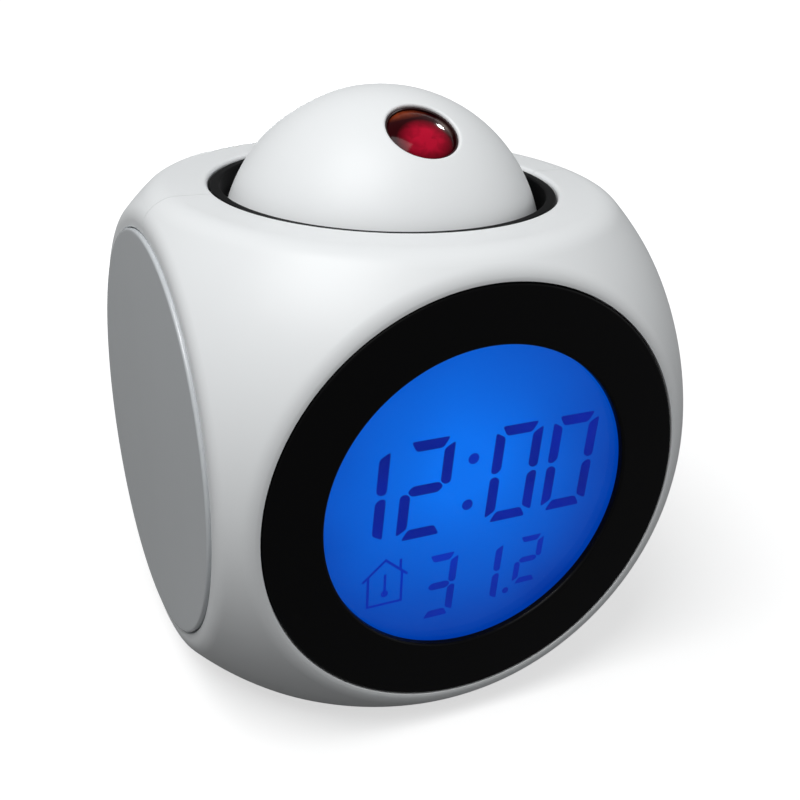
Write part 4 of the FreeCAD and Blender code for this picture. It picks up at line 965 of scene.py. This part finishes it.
def segment_outlines(figure, width, height, stroke):
    """Segments of one figure as outlines across X and up Z, from the lower left stroke's middle."""
    half, gap, cut = stroke / 2, stroke * 0.12, stroke * 0.08
    middle = height / 2
    outlines = []
    for name in SEGMENTS[figure]:
        way = 1 if name in "abf" else -1
        if name == "g":
            left, right = gap + half, width - gap - half
            outline = [(left, middle + half), (right, middle + half), (right + half * 0.9, middle),
                       (right, middle - half), (left, middle - half), (left - half * 0.9, middle)]
        elif name in "ad":
            level = middle + way * middle
            outline = [(gap - cut, level + way * half), (width - gap + cut, level + way * half),
                       (width - gap - half, level - way * half), (gap + half, level - way * half)]
        else:
            across, side = (width, half) if name in "bc" else (0, -half)
            far, near = across + side, across - side
            outline = [(x, middle + way * rise) for x, rise in (
                (far, gap + half * 0.35), (far, middle - gap + cut), (near, middle - gap - half),
                (near, gap + half * 0.7), (across, gap))]
        outlines.append(outline)
    return outlines


def blunted(outline, reach):
    """The same outline with its corners rounded."""
    corners = [Vector(point) for point in outline]
    rounded = []
    for before, here, after in zip(corners[-1:] + corners[:-1], corners, corners[1:] + corners[:1]):
        back, ahead = before - here, after - here
        first = here + back.normalized() * min(reach, back.length * 0.4)
        last = here + ahead.normalized() * min(reach, ahead.length * 0.4)
        for share in (0, 0.33, 0.67, 1):
            rounded.append(tuple(first.lerp(here, share).lerp(here.lerp(last, share), share)))
    return rounded


class CLOCK_OT_display(ClockOperator, bpy.types.Operator):
    """Blue display with its time, temperature and house sign"""
    bl_idname = "clock.display"
    bl_label = "Display"

    # Each figure, its left and low corner, width, height and stroke, in millimetres
    temperature = (("3", -6.7, -20.7, 4.5, 10.5, 1.35), ("1", 0.8, -20.7, 5.3, 10.4, 1.3),
                   ("2", 10.0, -18.2, 3.9, 7.9, 1.1))
    # Strokes of the house and of the thermometer in it
    house = (((-17.9, -16.5), (-12.1, -16.5)), ((-17.9, -16.5), (-17.9, -11.2)),
             ((-12.1, -16.5), (-12.1, -11.2)), ((-18.7, -11.6), (-15.0, -8.4)),
             ((-15.0, -8.4), (-11.3, -11.6)), ((-12.4, -8.9), (-12.4, -10.5)),
             ((-15.0, -11.2), (-15.0, -13.9)))

    def execute(self, context):
        case, display = context.scene.clock_case, context.scene.clock_display
        front = case.depth / 2 - display.window_depth - display.window_thick - 0.06 * MM
        radius = pane_radius(display)
        back = case.depth / 2 - case.front_wall
        profile = [(0, back - 2.2 * MM), (26.4 * MM, back - 2.2 * MM), (26.4 * MM, back - 0.1 * MM),
                   (radius, back + 0.05 * MM), (radius, front - 0.1 * MM), (radius - 0.1 * MM, front),
                   (radius * 0.5, front), (0, front)]
        glass = placed(lathe("display_glass", profile, 160), (0, 0, case.centre), 90)
        dress(even_normals(glass), "display_blue", "case", "lcd_panel")

        high, stroke = display.figure_high / MM, display.stroke / MM
        time = [outline for text, left in (("1", -23.2), ("2", -12.4), ("0", 3.15), ("0", 13.55))
                for outline in self.figure(display.slant, text, left, -4.6, 6.72, high, stroke)]
        colon = [circle(0.95, 20, place) for place in ((-0.8, 6.8), (-1.3, -1.3))]
        small = colon + [circle(0.6, 16, (7.3, -19.6))]
        for values in self.temperature:
            small += self.figure(display.slant, *values)
        sign = [self.line(Vector(start), Vector(end)) for start, end in self.house]
        sign.append(circle(0.65, 16, (-15.0, -14.6)))
        self.plates("figures_time", "figure", time, front)
        self.plates("figures_temperature", "figure_small", small, front)
        self.plates("sign_house", "figure_small", sign, front)
        return {"FINISHED"}

    def figure(self, slant, text, left, low, width, height, stroke):
        """Outlines of one figure, leaning by the display's slant."""
        return [[(left + x + slant * (low + z), low + z) for x, z in blunted(outline, stroke * 0.3)]
                for outline in segment_outlines(text, width, height, stroke)]

    def line(self, start, end, wide=0.45):
        along = (end - start).normalized() * wide / 2
        side = along.orthogonal()
        return [tuple(point) for point in (start - along - side, end + along - side, end + along + side,
                                           start - along + side)]

    def plates(self, name, finish, outlines, front):
        """Thin plates just in front of the display glass, from outlines in millimetres."""
        plates = []
        for outline in outlines:
            rings = [[rear_point(x * MM, raised * MM - front, z * MM) for x, z in outline]
                     for raised in (0.003, -0.012)]
            plates.append(stack(name + "_plate", rings))
        dress(joined(name, *plates), finish, "case", slot="display_blue")


def ball_matrix():
    case, ball = bpy.context.scene.clock_case, bpy.context.scene.clock_ball
    return Matrix.Translation((0, 0, case.centre + ball.rise)) @ Matrix.Rotation(ball.tilt, 4, "X")


class CLOCK_OT_ball(ClockOperator, bpy.types.Operator):
    """White ball in two halves, with its lens"""
    bl_idname = "clock.ball"
    bl_label = "Projector ball"

    def execute(self, context):
        ball = context.scene.clock_ball
        self.shells(ball)
        top = math.sqrt(ball.radius ** 2 - ball.lens_ring ** 2) - 0.5 * MM
        bend = 0.14 * MM
        ring = [(ball.lens, ball.lens_base), (ball.lens_ring, ball.lens_base)]
        ring += arc((ball.lens_ring - bend, top - bend), bend, 0, 90, 3)
        ring += [(ball.lens + 0.1 * MM, top), (ball.lens, top - 0.12 * MM)]
        self.piece("lens_bezel", ring, "ring_maroon", "lens_ring", 96, "bezel_black")
        crown, edge = 11 * MM, 1.3 * MM
        radius = ball.lens - 0.02 * MM
        sink = ball.lens_base + edge - math.sqrt(crown ** 2 - radius ** 2)
        span = math.degrees(math.acos(radius / crown))
        dome = [(0, ball.lens_base), (radius, ball.lens_base)] + arc((0, sink), crown, span, 89, 14)
        self.piece("projection_lens", dome + [(0, sink + crown)], "lens_red", "projector_lens", 96)
        return {"FINISHED"}

    def shells(self, ball):
        """Both halves, with a hairline groove where they meet and a rounded hole for the lens."""
        inner = ball.radius - ball.wall
        hole = ball.lens_ring + 0.03 * MM
        groove, split, bend = 0.14 * MM, 0.02 * MM, 0.4 * MM
        seam = math.degrees(math.asin(2 * groove / ball.radius))
        turn = math.acos((hole + bend) / (ball.radius - bend))
        rim = math.degrees(turn)
        upper = [(hole, math.sqrt(inner ** 2 - hole ** 2))]
        upper += arc((hole + bend, (ball.radius - bend) * math.sin(turn)), bend, 180, rim, 6)
        upper += arc((0, 0), ball.radius, rim - 0.5, seam, 44)
        upper += [(ball.radius - groove, split), (inner, split)]
        upper += arc((0, 0), inner, 2, math.degrees(math.acos(hole / inner)) - 1, 20)
        lower = [(0, -ball.radius)] + arc((0, 0), ball.radius, -88, -seam, 48)
        lower += [(ball.radius - groove, -split), (inner, -split)]
        lower += arc((0, 0), inner, -2, -88, 24) + [(0, -inner)]
        self.piece("ball_upper", upper, "ball_white", "ball_upper_shell", 160)
        self.piece("ball_lower", lower, "ball_white", "ball_lower_shell", 160)

    def piece(self, name, profile, finish, node, steps, slot=None):
        item = lathe(name, profile, steps)
        item.data.transform(ball_matrix())
        dress(even_normals(item), finish, "ball", node, slot=slot)


class CLOCK_OT_cradle(ClockOperator, bpy.types.Operator):
    """Black cup and collar that the ball sits in"""
    bl_idname = "clock.cradle"
    bl_label = "Cradle"

    def execute(self, context):
        case, ball = context.scene.clock_case, context.scene.clock_ball
        bowl_in, bowl_out = ball.radius + 0.6 * MM, ball.radius + 2.5 * MM
        flange_top = case.rise - case.wall - 0.3 * MM
        flange_low = flange_top - 1.8 * MM
        flange_out, bevel = 36 * MM, 0.4 * MM
        collar_top = case.rise - 0.45 * MM
        collar_out = ball.well - 0.25 * MM
        collar_in = collar_out - 1.7 * MM
        foot = -14 * MM
        bend = 0.35 * MM
        middle = (0, ball.rise)
        profile = arc(middle, bowl_out, math.degrees(math.asin(foot / bowl_out)),
                      math.degrees(math.asin((flange_low - ball.rise) / bowl_out)), 24)
        profile += [(flange_out - bevel, flange_low), (flange_out, flange_low + bend),
                    (flange_out, flange_top - bend), (flange_out - bevel, flange_top),
                    (collar_out, flange_top)]
        profile += arc((collar_out - bend, collar_top - bend), bend, 0, 90, 4)
        profile += arc((collar_in + bend, collar_top - bend), bend, 90, 180, 4)
        profile += arc(middle, bowl_in, math.degrees(math.acos(collar_in / bowl_in)),
                       math.degrees(math.asin(foot / bowl_in)), 30)
        cup = placed(lathe("projector_cup", profile, 160), (0, 0, case.centre))
        dress(even_normals(cup), "socket_black", "cradle", "projector_cradle")
        return {"FINISHED"}


class CLOCK_OT_keys(ClockOperator, bpy.types.Operator):
    """Four rear keys, the slide knob and its ribs"""
    bl_idname = "clock.keys"
    bl_label = "Rear keys"

    def execute(self, context):
        case, rear = context.scene.clock_case, context.scene.clock_rear
        face = case.depth / 2 - rear.recess + 0.8 * MM
        back = case.depth / 2 - case.wall - FIT
        stem, shoulder, bend = 1.4 * MM, 4.6 * MM, 0.5 * MM
        crown = face - 0.15 * MM
        profile = [(0, 34.4 * MM), (stem, 34.4 * MM), (stem, back - MM), (shoulder, back - MM),
                   (shoulder, back), (rear.button, back)]
        profile += arc((rear.button - bend, crown - bend), bend, 0, 80, 5)
        profile += [(rear.button * 0.6, crown - 0.02 * MM), (rear.button * 0.3, crown), (0, crown)]
        for number, name in enumerate(("mode_button", "set_button", "up_button", "down_button")):
            across = rear.pitch * (number - 1.5)
            key = placed(lathe(name + "_body", profile, 64), (across, 0, case.centre + rear.row), -90)
            dress(key, "button_grey", name, name)
            sign = self.sign(name + "_sign", number, across, face, rear.row)
            dress(sign, "frame_white", name, slot="button_grey")
        self.knob(case, rear)
        return {"FINISHED"}

    def sign(self, name, number, across, face, up):
        """A printed sign on a key: a ring, a square, and arrows up and down."""
        def rings(outline, *depths):
            return [[rear_point(across + x * MM, face + depth * MM, up + z * MM) for x, z in outline]
                    for depth in depths]
        if number == 0:
            rim = rings(circle(1.6, 40), -0.2, 0)
            return stack(name, rim + rings(circle(1.1, 40), 0, -0.2) + rim[:1], False)
        outlines = (rounded_box(1.2, 1.2, 0.3, 4), [(-1.5, -0.9), (1.5, -0.9), (0, 1.5)],
                    [(1.5, 0.9), (-1.5, 0.9), (0, -1.5)])
        return stack(name, rings(outlines[number - 1], -0.2, 0))

    def knob(self, case, rear):
        face = case.depth / 2 - 0.2 * MM
        across = -1.5 * MM
        body = slab("knob_body", (across, -rear.switch_drop), 2 * MM, 1.2 * MM, 0.3 * MM,
                    [(case.depth / 2 - case.wall - 1.7 * MM, 0), (face - 0.75 * MM, 0),
                     (face - 0.55 * MM, -0.12 * MM)], 4)
        rib = slab("knob_rib", (0, 0), 0.22 * MM, 1.05 * MM, 0.1 * MM,
                   [(face - 0.7 * MM, 0), (face - 0.08 * MM, 0), (face, -0.08 * MM)], 3)
        placed(placed(rib, (0, 0, -case.centre)), degrees=90)
        black = material("part_black")
        grow(rib, rows_tree(), columns=5, rows=1, span_x=3.2 * MM, span_y=0.0, finish=black)
        placed(rib, (across, 0, case.centre - rear.switch_drop), -90)
        dress(joined("slide_knob_ribbed", body, rib), "part_black", "slide_knob", "slide_knob")


class CLOCK_OT_door(ClockOperator, bpy.types.Operator):
    """Battery door with its finger notch and ribs"""
    bl_idname = "clock.door"
    bl_label = "Battery door"

    def execute(self, context):
        case, rear = context.scene.clock_case, context.scene.clock_rear
        face = case.depth / 2
        back = face - rear.door_thick
        half_long, half_high = rear.door_long / 2, rear.door_high / 2
        bend = 0.3 * MM
        plate = slab("door_plate", (0, -rear.door_drop), half_long, half_high, 5 * MM,
                     [(back, 0)] + arc((face - bend, -bend), bend, 90, 0, 4))
        notch_up = half_high - rear.door_drop - 6 * MM
        end, reach, bevel = 6 * MM, 6 * MM, 0.4 * MM
        notch = lathe("notch", [(0, -end), (reach - bevel, -end), (reach, bevel - end),
                                (reach, end - bevel), (reach - bevel, end), (0, end)], 96)
        carve(plate, placed(notch, (0, face + 5.2 * MM, case.centre + notch_up), 90, "Y"))
        latch = slab("door_latch", (0, half_high - rear.door_drop - 2.5 * MM), 5 * MM, 0.6 * MM, 0.1 * MM,
                     [(back - 2.4 * MM, 0), (back + 0.1 * MM, 0)], 3)
        ribs = [slab("notch_rib", (0, notch_up + step * MM), 4.8 * MM, 0.2 * MM, 0.15 * MM,
                     [(back + 0.6 * MM, 0), (face - 0.25 * MM, 0), (face - 0.15 * MM, -0.08 * MM)], 3)
                for step in (-1.6, 0, 1.6)]
        door = joined("battery_door_plate", plate, latch, *ribs)
        dress(even_normals(door), "case_white", "battery_door", "battery_door")
        return {"FINISHED"}


class CLOCK_OT_screws(ClockOperator, bpy.types.Operator):
    """Case screws with crossed slots, at the bottom of their wells"""
    bl_idname = "clock.screws"
    bl_label = "Case screws"

    def execute(self, context):
        # Radius and height of the shank, then of the domed head, in millimetres
        outline = ((0, -10), (1.2, -10), (1.2, 6), (2.3, 6), (2.3, 7.1), (2.1, 7.45), (1.5, 7.7),
                   (0.7, 7.8), (0, 7.8))
        screw = lathe("case_screw_set", [(radius * MM, height * MM) for radius, height in outline], 40)
        bars = []
        for half_long, half_wide in ((1.2 * MM, 0.22 * MM), (0.22 * MM, 1.2 * MM)):
            bar = rounded_box(half_long, half_wide, 0.05 * MM, 2)
            rings = [[(x, y, height * MM) for x, y in bar] for height in (6.8, 8.8)]
            bars.append(stack("slot_bar", rings))
        carve(screw, *bars)
        steel = material("screw_steel")
        grow(screw, rows_tree(), columns=2, rows=2, span_x=67 * MM, span_y=38 * MM, finish=steel)
        placed(screw, (0, 0, context.scene.clock_case.centre - MM), -90)
        dress(screw, "screw_steel", "case", "case_screws")
        return {"FINISHED"}


class CLOCK_OT_inner(ClockOperator, bpy.types.Operator):
    """Finishes of the CAD pieces that stay as they are"""
    bl_idname = "clock.inner"
    bl_label = "Inner pieces"

    def execute(self, context):
        for part in frame["record"]["subparts"]:
            node = frame["nodes"][part["node"]]
            node.data.materials.clear()
            node.data.materials.append(material(part["material_slot"]))
        return {"FINISHED"}


class CLOCK_OT_stage(ClockOperator, bpy.types.Operator):
    """Pale floor, soft lamps and the camera of the photograph"""
    bl_idname = "clock.stage"
    bl_label = "Stage"

    # Name, place, size and power: a key from above and the left, broad weak fills, a glint for the lens
    lamps = (("key", (-0.28, -0.17, 0.68), 0.42, 4.4), ("front_fill", (-0.25, -0.75, 0.3), 0.5, 0.4),
             ("right_fill", (0.6, -0.3, 0.2), 0.4, 0.6), ("rear_fill", (0.2, 0.7, 0.04), 0.07, 1.6),
             ("lens_spark", (0.42, 0.28, 0.4), 0.055, 1.0))

    def execute(self, context):
        corners = [(1.5 * x, 1.5 * y, 0) for x, y in ((-1, -1), (1, -1), (1, 1), (-1, 1))]
        floor = mesh_object("floor", corners, [(0, 1, 2, 3)])
        floor.data.materials.append(material("table"))
        self.room(context)
        for values in self.lamps:
            self.lamp(*values)
        only = bpy.data.collections.new("spark_on_lens")
        only.objects.link(bpy.data.objects["projection_lens"])
        bpy.data.objects["lens_spark"].light_linking.receiver_collection = only
        self.camera(context)
        context.scene.view_settings.view_transform = "Standard"
        return {"FINISHED"}

    def room(self, context):
        """A dim, faintly cool room round the object, white where it is seen."""
        world = bpy.data.worlds.new("PaleRoom")
        world.use_nodes = True
        tree = world.node_tree
        tree.nodes.clear()
        cool, white = (*shade("#F7FCFF"), 1), (*shade("#FFFFFF"), 1)
        room = add_node(tree, "ShaderNodeBackground", {"Color": cool, "Strength": 0.13})
        bright = add_node(tree, "ShaderNodeBackground", {"Color": white, "Strength": 1.0})
        mixed = add_node(tree, "ShaderNodeMixShader", {0: seen_direct(tree), 1: room, 2: bright})
        add_node(tree, "ShaderNodeOutputWorld", {"Surface": mixed})
        context.scene.world = world

    def lamp(self, name, place, size, power):
        lamp = bpy.data.lights.new(name, "AREA")
        lamp.size = size
        lamp.energy = power
        item = shown(name, lamp)
        item.location = place
        item.rotation_euler = (Vector(place) - Vector((0, 0, 0.045))).to_track_quat("Z", "Y").to_euler()

    def camera(self, context):
        """The photograph's viewpoint, worked out from the ring, the ball and the sides of the case."""
        eye = Vector((-77.13, -167.17, 128.65)) * MM
        across = Vector((0.90546, -0.42207, 0.04482))
        up = Vector((0.14326, 0.40330, 0.90380))
        back = Vector((-0.39954, -0.81192, 0.42563))
        data = bpy.data.cameras.new("photo_view")
        data.sensor_width = 36
        data.lens = 49.38
        data.clip_start = 0.01
        item = shown("photo_view", data)
        item.matrix_world = Matrix.Translation(eye) @ Matrix((across, up, back)).transposed().to_4x4()
        context.scene.camera = item


STEPS = (CLOCK_OT_inner, CLOCK_OT_case, CLOCK_OT_caps, CLOCK_OT_feet, CLOCK_OT_ring, CLOCK_OT_display,
         CLOCK_OT_cradle, CLOCK_OT_ball, CLOCK_OT_keys, CLOCK_OT_door, CLOCK_OT_screws, CLOCK_OT_stage)


class CLOCK_PT_pieces(bpy.types.Panel):
    """Lists the pieces of the clock in the sidebar"""
    bl_idname = "CLOCK_PT_pieces"
    bl_label = "Projection alarm clock"
    bl_space_type = "VIEW_3D"
    bl_region_type = "UI"
    bl_category = "Clock"

    def draw(self, context):
        for step in STEPS:
            self.layout.operator(step.bl_idname)


def register():
    for label, group in GROUPS.items():
        bpy.utils.register_class(group)
        setattr(bpy.types.Scene, label, PointerProperty(type=group))
    for item in (*STEPS, CLOCK_PT_pieces):
        bpy.utils.register_class(item)


def unregister():
    for item in (CLOCK_PT_pieces, *reversed(STEPS)):
        bpy.utils.unregister_class(item)
    for label, group in GROUPS.items():
        delattr(bpy.types.Scene, label)
        bpy.utils.unregister_class(group)


def main():
    register()
    for step in STEPS:
        family, name = step.bl_idname.split(".")
        getattr(getattr(bpy.ops, family), name)()


if __name__ == "__main__":
    main()
